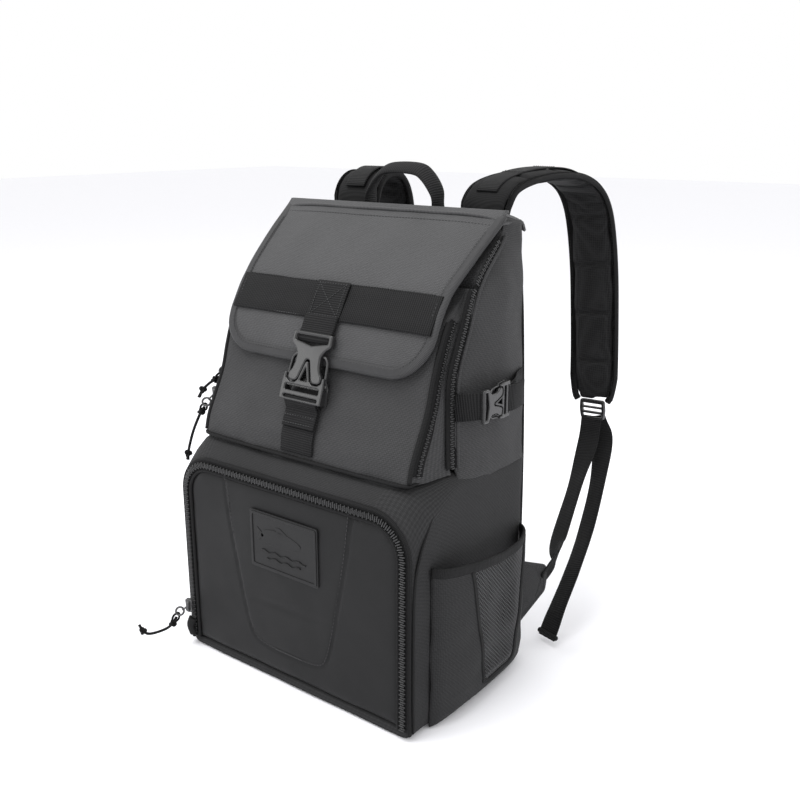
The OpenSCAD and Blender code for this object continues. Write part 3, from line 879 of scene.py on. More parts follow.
def door():
    """Door with its sewn shield, piping, zip edge, teeth and lining"""
    inset, y = 6.4, front_y - 1.6
    half, low, high, r = door_half - inset, 12, door_top - inset, door_r - inset
    seam = resample(shield(), 2.0)
    rows = []
    for z in np.linspace(low, high, 92):
        reach = half if z < high - r else half - r + sqrt(max(0, r * r - (z - high + r) ** 2))
        row = []
        for u in np.linspace(-1, 1, 126):
            x = u * reach
            near = sqrt(((seam - (x, z)) ** 2).sum(axis=1).min())
            groove = 1.3 * exp(-(near / 1.7) ** 2)
            inner = np.interp(z, *zip(*[(p[1], p[0]) for p in shield_line[::-1]]))
            raised = 1.0 if abs(x) < inner and z > 36 else 0.0
            rim = min(half - abs(u) * half, z - low, high - z)
            edge = 2.2 * exp(-max(0, rim) / 3.0)
            puff = 1.8 * (1 - u * u) * sin(pi * (z - low) / (high - low))
            crease = 0.8 * exp(-((z - 88 - 0.05 * x) / 3.5) ** 2) * exp(-(x / 34) ** 2)
            step = raised * 0.7 * (1 - exp(-near / 2))
            row.append((x, y - puff - step + groove + edge + crease, z))
        rows.append(row)
    cloth("door_skin", rows, LAMINATE, "door", ["door_panel"], 2.0, (0.55, 46, 8.0))
    line = in_front([(x * 0.965, z + 1.6) for x, z in shield()], y - 1.9)
    stitches("door_stitches", [line], [FORWARD], "door", pitch=4.2, lift=-0.55)
    edge_line = in_front(open_arch(door_half - 5.6, 10.6, door_top - 5.4, door_r - 5.4), y + 0.6)
    sweep("door_piping", edge_line, circle(1.9), BINDING, "door", up=FORWARD)
    tape_line = in_front(open_arch(door_half - 2, 10.6, door_top - 2, door_r - 2), front_y - 0.6)
    tape = zip_tape("door_tape", tape_line, FORWARD, 5.4, "door")
    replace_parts(tape, "door_zip_edge")
    coil_line = in_front(open_arch(door_half + 0.2, 11, door_top + 0.2, door_r + 0.2, 2),
                         front_y - 1.6)
    zip_coil("door_coil", coil_line, FORWARD, "door", width=6.6, pitch=2.3)
    board = in_front(arch(door_half - 12, 13, door_top - 12, door_r - 12, 6, 10), front_y + 4.6)
    inner = skin("door_lining", [board * (0.001, 1, 0.001) + (0, 0, 105), board,
                                 board + (0, -1.4, 0) + (board - (0, 0, 105)) * (0.012, 0, 0.012)],
                 LINING, "door", around=True)
    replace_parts(inner, "door_board")


def badge():
    """Rubber badge with a raised frame and a plain fish"""
    low, high = box("door_badge")
    cx, cz, y = (low.x + high.x) / 2, (low.z + high.z) / 2, front_y - 4.3
    w, h = high.x - low.x, high.z - low.z

    def at(depth):
        return moved(cx, y - depth, cz) @ UPRIGHT

    parts = [plate("base", [rectangle(w, h, 3)], 1.8, RUBBER, at(0.2), 0.5),
             plate("rim", [rectangle(w - 3, h - 3, 3), rectangle(w - 8, h - 8, 2)], 1.6, RUBBER,
                   at(1.1), 0.45)]
    body = [(26 * cos(t) - 3, 8.5 * sin(t) * (1 - 0.25 * cos(t)) + 6)
            for t in np.linspace(0, 2 * pi, 36, endpoint=False)]
    tail = cornered([(-24, 6), (-35, 14), (-31, 6), (-35, -2)], 2)
    fin = cornered([(-6, 13), (6, 13.5), (-4, 19), (-11, 18)], 2)
    for label, shape in (("body", body), ("tail", tail), ("fin", fin)):
        parts.append(plate(label, [shape], 1.3, RUBBER, at(1.0), 0.4))
    for k, length in enumerate((58, 44)):
        wave = [(x, y - 1.5, cz - 10 - 6.5 * k + 1.1 * sin(x * 0.42))
                for x in np.linspace(cx - length / 2, cx + length / 2, 60)]
        parts.append(sweep("wave", wave, circle(0.75, 6), RUBBER))
    made = joined("badge", parts, "door")
    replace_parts(made, "door_badge")


def slider(name, body, node_name, lean):
    """Zip slider: a waisted body, a crown bridge and its rounded nose"""
    low, high = box(node_name)
    centre = (low + high) / 2
    w, t, h = high.x - low.x, high.y - low.y, high.z - low.z
    place = moved(*centre) @ Matrix.Rotation(lean, 4, "Z") @ UPRIGHT
    outline = cornered([(x * w, y * h) for x, y in (
        (-0.62, 0.5), (0.62, 0.5), (0.5, 0), (0.62, -0.42), (0, -0.52), (-0.62, -0.42),
        (-0.5, 0))], 2.0)
    parts = [plate("top", [outline], 1.6, METAL, place @ moved(0, 0, t * 0.22), 0.5),
             plate("under", [outline], 1.6, METAL, place @ moved(0, 0, -t * 0.22), 0.5)]
    bridge = [place @ Vector((0, p, q)) for p, q in smooth(
        [(h * 0.36, t * 0.2), (h * 0.3, t * 0.6), (0, t * 0.72), (-h * 0.3, t * 0.6),
         (-h * 0.36, t * 0.2)], 1.0)]
    parts.append(sweep("bridge", bridge, flat(2.6, 1.2), METAL,
                       wide=tuple(place.to_3x3() @ Vector((1, 0, 0)))))
    made = joined(name, parts, body)
    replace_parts(made, node_name)


def zip_end():
    """Folded cloth garage where the door zip ends at the lower left"""
    line = smooth([(-door_half - 2, front_y - 3.5, 31), (-door_half - 4, front_y - 5.5, 22),
                   (-door_half - 2, front_y - 4, 12)], 1.5)
    sweep("zip_garage", line, circle(5.2, 12, 0.5), BINDING,
          "pack_shell", up=(0, -1, 0))


bay_shell()
back_of_bag()
for side, name in SIDES:
    gusset(side, name)
bay_front_zip()
roof_seam()
shelf()
door()
badge()
slider("door_slider_body", "door_slider", "door_slider", 0.3)
slider("main_slider_body", "main_slider", "main_slider", 1.0)
slider("pocket_slider_body", "pocket_slider", "pocket_slider", 0.5)
zip_end()


# --------------------------------------------------------------- front section
def front_point(x, z, lift=0.0):
    """Point on the front pocket's cloth, lifted along its outward normal"""
    slope = slope_of(pocket_y, z)
    size = hypot(1, slope)
    dent = 1.5 * noise.noise(Vector((x / 42, z / 30, 1.7)))
    dent += 0.6 * noise.noise(Vector((x / 17, z / 15, 4)))
    y = pocket_y(z) - crown(x, z, 121) - dent
    return np.array((x, y - lift / size, z + lift * slope / size))


def main_zip_x(z):
    return float(np.interp(z, (shelf_h - 12, shelf_h + 6, 300, 400, top_h),
                           (147, 140, 137, 136, 134)))


def front_section():
    """Front pocket in one skin with its sides, and the zips at both of its edges"""
    rows = []
    heights = np.concatenate([np.linspace(shelf_h + 2, shelf_h + 140, 62),
                              np.linspace(shelf_h + 143, shelf_h + 165, 8)])
    for z in heights:
        y_front, y_zip = pocket_y(z), zip_y(z) - 4.5
        depth = y_zip - y_front
        r = min(6.5, depth * 0.6)
        right = []
        for t in np.linspace(0, 1, 12)[:-1]:
            x = main_zip_x(z) + (pocket_half - main_zip_x(z)) * t ** 0.7
            swell = (2.2 + 1.5 * noise.noise(Vector((z / 30, t * 2, 9)))) * sin(pi * t)
            right.append((x + swell * min(1, depth / 40), y_zip + (y_front + r - y_zip) * t, z))
        right += [(x, y, z) for x, y in arc(pocket_half - r, y_front + r, r, 0, -80, 7)]
        front = [tuple(front_point(x, z)) for x in np.linspace(129.5 - r, r - 129.5, 60)]
        left = [(-x, y, z) for x, y, z in right[::-1]]
        rows.append(right + front + left)
    cloth("front_section_skin", rows, SIDE_CLOTH, "front_section",
          ("main_front_panel", "front_pocket_gusset", "front_pocket_panel"), 2.2, flip=True)
    for side, name in SIDES:
        out = (side, -0.15, 0)
        zs = np.linspace(shelf_h + 5, shelf_h + 138, 60)
        edge = [(side * 129.6, pocket_y(z) + 1.6, z) for z in zs]
        sweep(f"pocket_piping_{name}", edge, circle(2.2), BINDING, "front_section")
        coil_at = [(side * 132.2, pocket_y(z) + 9, z) for z in zs[2:]]
        tape = zip_tape(f"pocket_tape_{name}", coil_at, out, 13, "front_section")
        if side > 0:
            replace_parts(tape, "front_pocket_zip")
        zip_coil(f"pocket_coil_{name}", coil_at, out, "front_section", width=4.4, pitch=2.0,
                 lift=0.9)
        zs = np.linspace(shelf_h + 8, shelf_h + 164, 70)
        main = [(side * (main_zip_x(z) + 1.4), zip_y(z) - 3.2, z) for z in zs]
        zip_tape(f"main_tape_{name}", [(x, y - 3, z) for x, y, z in main], out, 9, "front_section")
        zip_coil(f"main_coil_{name}", main, out, "front_section", lift=0.8)
        rear = [(side * (main_zip_x(z) + 1.2), zip_y(z) + 1.5, z)
                for z in np.linspace(shelf_h + 6, top_h - 20, 80)]
        zip_tape(f"main_tape_rear_{name}", rear, out, 7, "pack_shell")
        welt = [(x + side * 1.6, y + 3.4, z) for x, y, z in rear]
        sweep(f"main_welt_{name}", welt, circle(1.9, 8), SIDE_CLOTH, "pack_shell")
        upper = [(side * (main_zip_x(z) + 1.4), zip_y(z) - 2.6, z)
                 for z in np.linspace(shelf_h + 169, shelf_h + 203, 20)]
        zip_coil(f"throat_coil_{name}", upper, out, "pack_shell", lift=0.8)


def front_webbing():
    """Webbing down the pocket, doubled through the buckle's lower bar"""
    low = [front_point(0, z, 1.6) for z in np.linspace(shelf_h + 7, shelf_h + 48, 14)]
    strap = smooth(low + [(0, -70.4, shelf_h + 54), (0, -69.2, shelf_h + 60)], 2.5)
    made = sweep("front_webbing", strap, flat(wide_web, wide_web_t), WEBBING, "front_section",
                 wide=(1, 0, 0))
    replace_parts(made, "front_strap")
    end = [front_point(0, z, 4.0) for z in np.linspace(shelf_h + 30, shelf_h + 46, 6)]
    fold = smooth(end + above(shelf_h, (0, -73.2, 54), (0, -72.2, 59.5), (0, -69.6, 61)), 2)
    sweep("front_webbing_fold", fold, flat(wide_web, wide_web_t), WEBBING, "front_section",
          wide=(1, 0, 0))
    rows = [[front_point(x, z, 5.3) for x in np.linspace(-17, 17, 8)]
            for z in (shelf_h + 33, shelf_h + 40)]
    stitches("front_webbing_stitches", rows, [(0, -1, 0.4)] * 2, "front_section", 3.0)


# ------------------------------------------------------------------------ flap
def flap_reach(z, inset=0.0):
    """Half width of the flap at a height"""
    low, r = flap_foot + inset, flap_r - inset
    if z < low + r:
        return flap_half - inset - r + sqrt(max(0, r * r - (low + r - z) ** 2))
    return float(np.interp(z, (top_h - 64, top_h), (flap_half, flap_half + 9))) - inset


def flap_point(x, z, lift=0.0):
    """Point on the flap's cloth, lifted along its outward normal"""
    slope = slope_of(flap_y, z, top_h)
    size = hypot(1, slope)
    dent = 2.1 * noise.noise(Vector((x / 40, z / 52, 6.2)))
    dent += 0.6 * noise.noise(Vector((x / 20, z / 16, 2)))
    # Flat where the buckle's male half lies and where it slides to
    along = max(0, abs(z - clip_h) - 24) / 16
    dent *= min(1, (top_h - z) / 30) * (1 - exp(-(x / 44) ** 4 - along ** 2))
    # The sides hang in over the gussets; the lower edge stands off the pocket
    low = max(0, 1 - (z - flap_foot) / 34)
    droop = 2.6 * min(1, abs(x) / flap_reach(max(z, top_h - 99))) ** 6 * (1 - low)
    out = lift + dent - droop + 1.6 * low
    y = flap_y(z) - crown(x, z, 136)
    return np.array((x, y - out / size, z + out * slope / size))


def flap_up(z):
    return (0, -1, slope_of(flap_y, z, top_h))


def flap_edge(inset, top):
    """The flap's outline from its left top corner round to its right one, [x, z]"""
    low, r = flap_foot + inset, flap_r - inset
    down = [(-flap_reach(z, inset), z) for z in np.linspace(top, low + r, 30)]
    line = down + arc(r - flap_half + inset, low + r, r, 180, 270, 12)
    line += arc(flap_half - inset - r, low + r, r, 270, 360, 12) + [(-x, z) for x, z in down[::-1]]
    return resample(line, 3)


def flap():
    """Flap with its binding, stitching, webbing band, sewn patch and buckle strap"""
    rows = [[(u * (flap_reach(top_h) - 1), y, top_h + 1.0) for u in np.linspace(-1, 1, 70)]
            for y in (seam_y + 6, seam_y + 3)]
    for z in top_h - 139 * (1 - np.cos(np.linspace(0.18, 1, 64) * pi / 2)) ** 0.72:
        z = max(top_h - 138.6, z)
        rows.append([flap_point(u * (flap_reach(z) - 0.8), z, -1) for u in np.linspace(-1, 1, 70)])
    panel = thicken(skin("flap_skin", rows, FABRIC), 2.6)
    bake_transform(panel)
    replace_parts(panel, "flap_panel")
    edge = flap_edge(4.6, top_h - 1)
    binding = sweep("flap_edge_binding", [flap_point(x, z, -1) for x, z in edge], flat(10.6, 5.4),
                    EDGE_TAPE, up=[flap_up(z) for x, z in edge])
    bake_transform(binding)
    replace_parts(binding, "flap_binding")
    inner = flap_edge(8.0, top_h - 16)
    stitches("flap_stitches", [[flap_point(x, z, 1.7) for x, z in inner]],
             [[flap_up(z) for x, z in inner]], "flap")
    mid = band_h
    band = [flap_point(x, mid, 1.0) for x in np.linspace(-123, 123, 70)]
    strap = sweep("flap_webbing", band, flat(38, wide_web_t), WEBBING, "flap", up=flap_up(mid))
    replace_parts(strap, "flap_band")
    patch = [flap_point(0, z, 3.1) for z in np.linspace(mid + 15.5, mid - 17, 12)]
    sweep("flap_patch", patch, flat(wide_web, wide_web_t), WEBBING, "flap", wide=(1, 0, 0))
    corners = [(-16.5, 13.5), (16.5, 13.5), (16.5, -13.5), (-16.5, -13.5)]
    pairs = [(0, 1), (1, 2), (2, 3), (3, 0), (0, 2), (1, 3)]
    lines = []
    for a, b in pairs:
        steps = np.linspace(corners[a], corners[b], 14)
        lines.append([flap_point(x, mid + z, 4.15) for x, z in steps])
    for z in (15.5, -15.5):
        lines.append([flap_point(x, mid + z, 2.4) for x in np.linspace(-114, -22, 30)])
        lines.append([flap_point(x, mid + z, 2.4) for x in np.linspace(22, 114, 30)])
    stitches("flap_webbing_stitches", lines, [flap_up(mid)] * len(lines), "flap", 3.2)
    top = [[flap_point(x, top_h - 9, 0.5) for x in np.linspace(-128, 128, 60)]]
    stitches("flap_top_stitches", top, [flap_up(top_h - 9)], "flap")
    loose = [flap_point(0, z, 4.4) for z in np.linspace(mid - 14, mid - 25, 5)]
    line = smooth(loose + [(0, -50.4, top_h - 113), (0, -51.0, top_h - 118)], 2.0)
    loop = sweep("flap_buckle_strap", line, flat(wide_web, 3.4), WEBBING, wide=(1, 0, 0))
    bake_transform(loop)
    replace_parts(loop, "flap_strap")


def top_of_bag():
    rows = []
    for t in np.linspace(0, 1, 16):
        y = seam_y - 6 + t * (back_y + 1.5 - seam_y + 6)
        drop = 10 * max(0, (t - 0.8) / 0.2) ** 2
        rows.append([(x, y, top_h - 1.2 - drop - 7 * (abs(x) / 137) ** 10
                      + 1.5 * sin(pi * t) * (1 - (x / 137) ** 2))
                     for x in np.linspace(-136.5, 136.5, 60)])
    cloth("top_skin", rows, FABRIC, "pack_shell", ["top_panel"], 2.5, (0.7, 40, 7.0))
    throat = smooth([(62, top_h - 10), (40, top_h - 31), (18, top_h - 51), (14.5, top_h - 68)], 4)
    rows = [[(u * (main_zip_x(z) - 0.6), y + 2.5, z - 1.5 + 1.2 * cos(2.2 * u))
             for u in np.linspace(-1, 1, 50)] for y, z in throat]
    cloth("throat_skin", rows, SIDE_CLOTH, "pack_shell", ["throat_panel"], 2, (0.8, 30, 4.0), 0,
          False)


# --------------------------------------------------------------------- buckles
def buckle(prefix, place, size, male_body, male_node, female_body, female_node):
    """Side-release buckle. Its plane is X across, Y along the webbing, Z outward."""
    def part(loops, thick, level, rounding=1.0):
        loops = [[(x * size, y * size) for x, y in loop] for loop in loops]
        return plate("part", loops, thick * size, PLASTIC,
                     place @ moved(0, 0, level * size), rounding * size)

    # One plate in the shape of an A, with two thin bowed arms beside it
    face = cornered(both_sides([(24, 25), (24.5, 14), (18, 9), (14.5, 4), (15, -5), (17, -11),
                                (20.5, -15), (20.5, -20), (17, -22), (11, -22), (8.2, -19.5),
                                (2.0, -0.5)]), 2.2)
    window = cornered([(-20, 22), (20, 22), (20, 16.5), (0, 12.5), (-20, 16.5)], 1.2)
    arm = [(14, 6.5), (19, 5), (22.8, 0), (23.6, -8), (24.2, -18), (21.8, -18), (21.2, -8),
           (20.4, -0.5), (17.6, 2.6), (14, 3.2)]
    males = [part([face, window], 5.2, 2.2, 1.5)]
    for side in (-1, 1):
        males.append(part([cornered([(side * x, y) for x, y in arm][::side], 1.4)], 3.6, 0, 1.0))
        males.append(part([rectangle(4, 11, 1.5, side * 21.5, 18)], 6.0, 0.3, 1.5))
    male = joined(f"{prefix}_male", males, male_body)
    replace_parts(male, male_node)

    # A frame round the feet of the A, with a triangular rib standing up between them
    frame_front = cornered(both_sides([(1.4, -2.5), (7.4, -20.5), (10.6, -23.4), (17.4, -23.4),
                                       (21.9, -20.6), (22.2, -15.5), (25, -15), (26, -25),
                                       (26, -41)]), 1.2)
    rear = cornered(both_sides([(20, -9), (21, -17), (25, -24), (26, -41)]), 3)
    hole = cornered([(0, -8), (4.6, -21), (-4.6, -21)], 0.8)
    slots = [rectangle(42, 5.6, 1.4, 0, -28.8), rectangle(42, 2.8, 1.2, 0, -37.4)]
    core = cornered([(-25, -25), (25, -25), (26, -41), (-26, -41)], 2)
    parts = [part([frame_front, hole] + slots, 3.4, 3.6, 1.2),
             part([rear, hole] + slots, 3.0, -4.2, 1.2), part([core] + slots, 7.6, 0, 1.5)]
    female = joined(f"{prefix}_female", parts, female_body)
    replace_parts(female, female_node)


def buckles():
    place = moved(0, -56.5, top_h - 133.7) @ turned(70, "X")
    buckle("front_buckle", place, 1.0, "buckle_male", "buckle_male", "front_section",
           "buckle_female")
    for side, name in SIDES:
        place = (moved(side * (half_w + 14), 4, side_strap_h) @ UPRIGHT @ turned(90 * side, "Z")
                 @ UPRIGHT)
        buckle(f"side_buckle_{name}", place, 0.64, f"side_male_{name}", f"side_buckle_male_{name}",
               "pack_shell", f"side_buckle_female_{name}")


def side_straps():
    z0 = side_strap_h
    # Routes as [outward from the widest point, y, height above the strap's middle]
    front = [(-12, -21, -3), (-5, -19.5, -2), (2, -17, -1), (9, -12, 0), (14, -8, 0)]
    rear = [(14, 30, 0), (12.5, 40, 0), (9, 53, 1), (2, 68, 2), (-2, 84, 3)]
    tail = [(16, 26, 0), (17.5, 36, -0.5), (16.5, 48, -1), (14, 60, -1)]
    for side, name in SIDES:
        for label, route, node_name in (("front", front, f"side_web_front_{name}"),
                                        ("rear", rear, f"side_web_rear_{name}"),
                                        ("tail", tail, None)):
            line = smooth([(side * (half_w + x), y, z0 + z) for x, y, z in route], 2.5)
            strap = sweep(f"side_strap_{label}_{name}", line, flat(web, web_t), WEBBING,
                          wide=(0, 0, 1))
            if label == "front":
                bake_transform(strap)
            else:
                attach(strap, "pack_shell")
            if node_name:
                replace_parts(strap, node_name)


# ---------------------------------------------------------------- side pockets
pocket_plan = [
    (half_w + 1.2, front_y + 27), (half_w + 11, front_y + 36), (half_w + 18, front_y + 62),
    (half_w + 20, 5), (half_w + 18, back_y - 48), (half_w + 11, back_y - 20),
    (half_w + 1.2, back_y - 10),
]


def side_pocket(side, name):
    plan = smooth(pocket_plan, 1.5)

    def rim(y):
        return float(np.interp(y, (-70, -40, 20, 60, 87), (164, 160, 151, 150, 153)))

    def point(y, z, lift=0.0):
        out = float(np.interp(y, plan[:, 1], plan[:, 0])) - half_w
        tuck = float(np.interp(z, (2, 12, 30, 70), (0.25, 0.68, 0.94, 1)))
        sag = 1.6 * noise.noise(Vector((y / 34, z / 30, 11 * side))) * min(1, z / 40)
        return np.array((side * (half_w + 0.6 + out * tuck + sag + lift), y, z))

    def window_low(y):
        """Lower edge of the mesh window at y"""
        half = abs(y - 24)
        if half > 56:
            return 1e3
        return 20 + 4 * max(0, (half - 18) / 10) ** 1.5 if half < 28 else 24 + (half - 28) * 4.9

    ys = np.linspace(front_y + 27, back_y - 10, 74)
    rows = [[point(y, 2.5 + t * (rim(y) - 4), 0) for y in ys] for t in np.linspace(0, 1, 72)]
    panel = skin(f"pocket_cloth_{name}", rows, BAY_CLOTH, flip=side < 0)
    work = bmesh.new()
    work.from_mesh(panel.data)
    inside = [f for f in work.faces
              if f.calc_center_median().z / MM > window_low(f.calc_center_median().y / MM) + 2]
    bmesh.ops.delete(work, geom=inside, context="FACES")
    work.to_mesh(panel.data)
    work.free()
    thicken(panel, 1.8)
    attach(panel, "pack_shell")
    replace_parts(panel, f"side_pocket_{name}")

    cell, verts, faces, index = 2.2, [], [], {}
    for i, y in enumerate(np.arange(-34, 84, cell)):
        for j, z in enumerate(np.arange(18, 162, cell)):
            if (i + j) % 2 == 0 and window_low(y) - 2 < z < rim(y) - 2:
                index[(i, j)] = len(verts)
                verts.append(point(y, z, -0.4))
    for i, j in index:
        ring = [index.get(k) for k in ((i, j), (i + 1, j + 1), (i, j + 2), (i - 1, j + 1))]
        if None not in ring:
            faces.append(ring if side > 0 else ring[::-1])
    net = make(f"pocket_net_{name}", verts, faces, NET)
    wire = net.modifiers.new("threads", "WIREFRAME")
    wire.thickness = 0.8 * MM
    wire.use_even_offset = False
    finished(net)
    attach(net, "pack_shell")

    edge = [(y, window_low(y)) for y in np.linspace(-30, 78, 120) if window_low(y) < rim(y) - 3]
    line = resample([point(y, z, 0.9) for y, z in edge], 2.5)
    sweep(f"pocket_window_tape_{name}", line, flat(5, 1.6), BINDING, "pack_shell",
          up=(side, 0, 0))
    line = resample([point(y, rim(y) - 4, 0.3 + 0.35 * sin(y * 1.3)) for y in ys], 2.5)
    band = sweep(f"pocket_rim_{name}", line, flat(9.5, 3.2), BINDING, "pack_shell", wide=(0, 0, 1))
    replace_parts(band, f"pocket_binding_{name}")


# --------------------------------------------------------------------- harness
# Pads from the top down, as [distance behind the back, height]
right_pad_line = above(
    top_h, (16, -12), (19, 4), (34, 18), (70, 26), (115, 28), (150, 24), (180, 12), (197, -8),
    (205, -38), (208, -85), (206, -145), (203, -195), (199, -233))
left_pad_line = above(
    top_h, (10, -12), (12, 6), (21, 20), (38, 27), (56, 23), (68, 6), (74, -24), (76, -65),
    (75, -130), (71, -185), (65, -230))
pad_x, pad_w, pad_t = 79, 62, 12
right_turn, left_turn = 6, 0
right_swing, right_lean = 0.09, 4


def harness_point(p, side):
    """A point on a pad's [distance behind the back, height] line, in the row frame"""
    t = radians(right_turn if side > 0 else left_turn)
    swing = right_swing * max(0, top_h + 12 - p[1]) * p[0] / 200 if side > 0 else 0
    return (side * (pad_x + p[0] * sin(t) + swing), back_y + p[0] * cos(t), p[1])


def inflate(obj, limit, pressure=4.0, voxel=5.0):
    """Remeshes a closed pad and lets air pressure round it, within a limit"""
    remesh = obj.modifiers.new("remesh", "REMESH")
    remesh.mode = "VOXEL"
    remesh.voxel_size = voxel * MM
    finished(obj)
    start = np.array([v.co for v in obj.data.vertices])
    cloth = obj.modifiers.new("cloth", "CLOTH")
    settings = cloth.settings
    settings.quality = 5
    settings.mass = 0.3
    settings.use_pressure = True
    settings.uniform_pressure_force = pressure
    settings.effector_weights.gravity = 0
    for f in range(1, 21):
        bpy.context.scene.frame_set(f)
    graph = bpy.context.evaluated_depsgraph_get()
    moved = np.array([v.co for v in obj.evaluated_get(graph).data.vertices])
    obj.modifiers.clear()
    bpy.context.scene.frame_set(1)
    shift = moved - start
    size = np.linalg.norm(shift, axis=1)[:, None]
    shift *= np.minimum(1, limit * MM / np.maximum(size, 1e-9))
    obj.data.vertices.foreach_set("co", (start + shift).astype(np.float32).ravel())
    fine = obj.modifiers.new("fine", "SUBSURF")
    fine.levels = fine.render_levels = 1
    finished(obj)
    obj.data.polygons.foreach_set("use_smooth", [True] * len(obj.data.polygons))
    return obj


def quilt(obj, path, normals, creases, depth, inner_material):
    """Presses sewn channels across a pad and gives its inner face the mesh cloth"""
    path = np.array(path)
    along, ahead = distances(path), directions(path)
    data = obj.data
    co = np.array([v.co for v in data.vertices]) / MM
    near = np.array([np.argmin(((path - p) ** 2).sum(axis=1)) for p in co])
    offset = co - path[near]
    at = along[near] + np.sum(offset * ahead[near], axis=1)
    out = np.sum(offset * normals[near], axis=1)
    press = np.zeros(len(co))
    for crease in creases:
        press = np.maximum(press, np.exp(-((at - crease) / 3.2) ** 2))
    co -= normals[near] * (out * press * depth)[:, None]
    data.vertices.foreach_set("co", (co * MM).astype(np.float32).ravel())
    data.update()
    data.materials.append(inner_material)
    for face in data.polygons:
        if Vector(normals[near[face.vertices[0]]]).dot(face.normal) > 0.25:
            face.material_index = 1
    return obj


def shoulder_strap(side, name):
    line, turn = (right_pad_line, right_turn) if side > 0 else (left_pad_line, left_turn)
    path = smooth([harness_point(p, side) for p in line], 4)
    t = radians(turn)
    wide = (cos(t), -side * sin(t), 0)
    across, normal = frames(path, wide=wide)
    total = len(path)
    taper = [min(1, 0.72 + 0.28 * sqrt(min(1, (total - 1 - i) / 7)), 0.9 + i / 40)
             for i in range(total)]
    rows = []
    for i in range(total):
        rows.append([path[i] + across[i] * cos(a) * (pad_w / 2 - 1) * taper[i]
                     + normal[i] * copysign(abs(sin(a)) ** 0.6, sin(a))
                     * (pad_t / 2 - 1.6) * taper[i]
                     for a in np.linspace(0, 2 * pi, 24, endpoint=False)])
    pad = skin(f"shoulder_pad_{name}", rows, PAD_CLOTH, around=True, ends=True, flip=True)
    inflate(pad, 3.0)
    length = 4.0 * total
    quilt(pad, path, normal, np.arange(58, length - 20, 56), 0.42, AIR_MESH)
    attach(pad, "pack_shell")
    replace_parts(pad, f"shoulder_strap_{name}")
    for edge in (-1, 1):
        rail = [path[i] + across[i] * edge * (pad_w / 2 - 3.4) * taper[i] for i in range(total)]
        sweep(f"pad_binding_{name}_{'in' if edge < 0 else 'out'}", rail, flat(7.2, 6.8),
              BINDING, "pack_shell", wide=wide)
    top = [path[i] - normal[i] * (pad_t / 2 + 0.9) for i in range(6, total - 3)]
    sweep(f"pad_webbing_{name}", top, flat(web, web_t), WEBBING, "pack_shell", wide=wide)
    rows = []
    for i in range(10, len(top) - 4, 13):
        for step in (0, 1):
            rows.append([np.array(top[i + step]) - normal[i + 6] * 1.0 + across[i + 6] * a
                         for a in np.linspace(-11, 11, 6)])
    stitches(f"pad_stitches_{name}", rows, [-normal[min(total - 1, 16 + 13 * (k // 2))]
                                            for k in range(len(rows))], "pack_shell", 2.8)
    lock = (moved(*path[-1]) @ turned(-turn * side, "Z")
            @ turned(-right_lean if side > 0 else 0, "Y") @ UPRIGHT)
    body = cornered([(-16, 1), (16, 1), (17, -12), (15, -23), (-15, -23), (-17, -12)], 3.5)
    slots = [rectangle(25.6, 3.4, 1.2, 0, y) for y in (-5.5, -11.5, -17.8)]
    ladder = plate(f"ladder_lock_{name}", [body] + slots, 4.2, PLASTIC, lock, 1.1, "pack_shell")
    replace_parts(ladder, "ladder_locks")


def loose_webbing():
    """Adjusting webbing from each pad's end to the wing, and its hemmed tail"""
    wing = np.array((half_w + 9, back_y + 31, 79))
    right = np.array(harness_point(right_pad_line[-1], 1))
    left = np.array(harness_point(left_pad_line[-1], -1)) * (-1, 1, 1)
    flat_way, slant, edge = (1, 0, 0), (0.8, 0, 0.6), (0.3, 0, 1)

    def strand(name, side, start, steps, directions, node_name, hem=False):
        route = [(*(start + np.array(step)), *direction)
                 for step, direction in zip(steps, directions)]
        fine = smooth(route, 4)
        mirror = np.array((side, 1, 1))
        line, wide = fine[:, :3] * mirror, fine[:, 3:] * mirror
        strap = sweep(name, line, flat(web, web_t), WEBBING, "pack_shell", wide=wide)
        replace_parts(strap, node_name)
        if hem:
            across = frames(line, wide=wide)[0]
            tip = line[-2]
            roll = [tip + across[-2] * a for a in np.linspace(-13.2, 13.2, 8)]
            sweep(name + "_hem", roll, circle(3.4, 10, 0.85), WEBBING, "pack_shell")

    base = right + (0, 0, -25)
    strand("strap_web_right", 1, base,
           [(0, 0, 6), (2, -10, -24), (11, -54, -60), (23, -114, -105),
            tuple(wing - base + (2, 24, 16)), tuple(wing - base + (-1, -2, -3))],
           [flat_way, flat_way, slant, slant, edge, edge], "strap_webbing_right")
    strand("strap_tail_right", 1, right + (3, 5, -24),
           [(0, 0, 4), (9, 3, -22), (22, -30, -60), (33, -78, -106), (40, -122, -138),
            (40, -153, -170), (37, -169, -199)],
           [flat_way, flat_way] + [slant] * 5, "strap_tail_right", True)
    base = left + (0, 1, -25.5)
    strand("strap_web_left", -1, base,
           [(0, 0, 6), (6, -1, -24), (22, -6, -60), tuple(wing - base + (-16, 12, 28)),
            tuple(wing - base + (-1, -2, -3))],
           [flat_way, flat_way, slant, edge, edge], "strap_webbing_left")
    strand("strap_tail_left", -1, left + (3, 6, -24),
           [(0, 0, 4), (11, 6, -28), (34, 6, -70), (62, 0, -120), (66, -12, -162),
            (64, -20, -200)],
           [flat_way, flat_way] + [slant] * 4, "strap_tail_left", True)


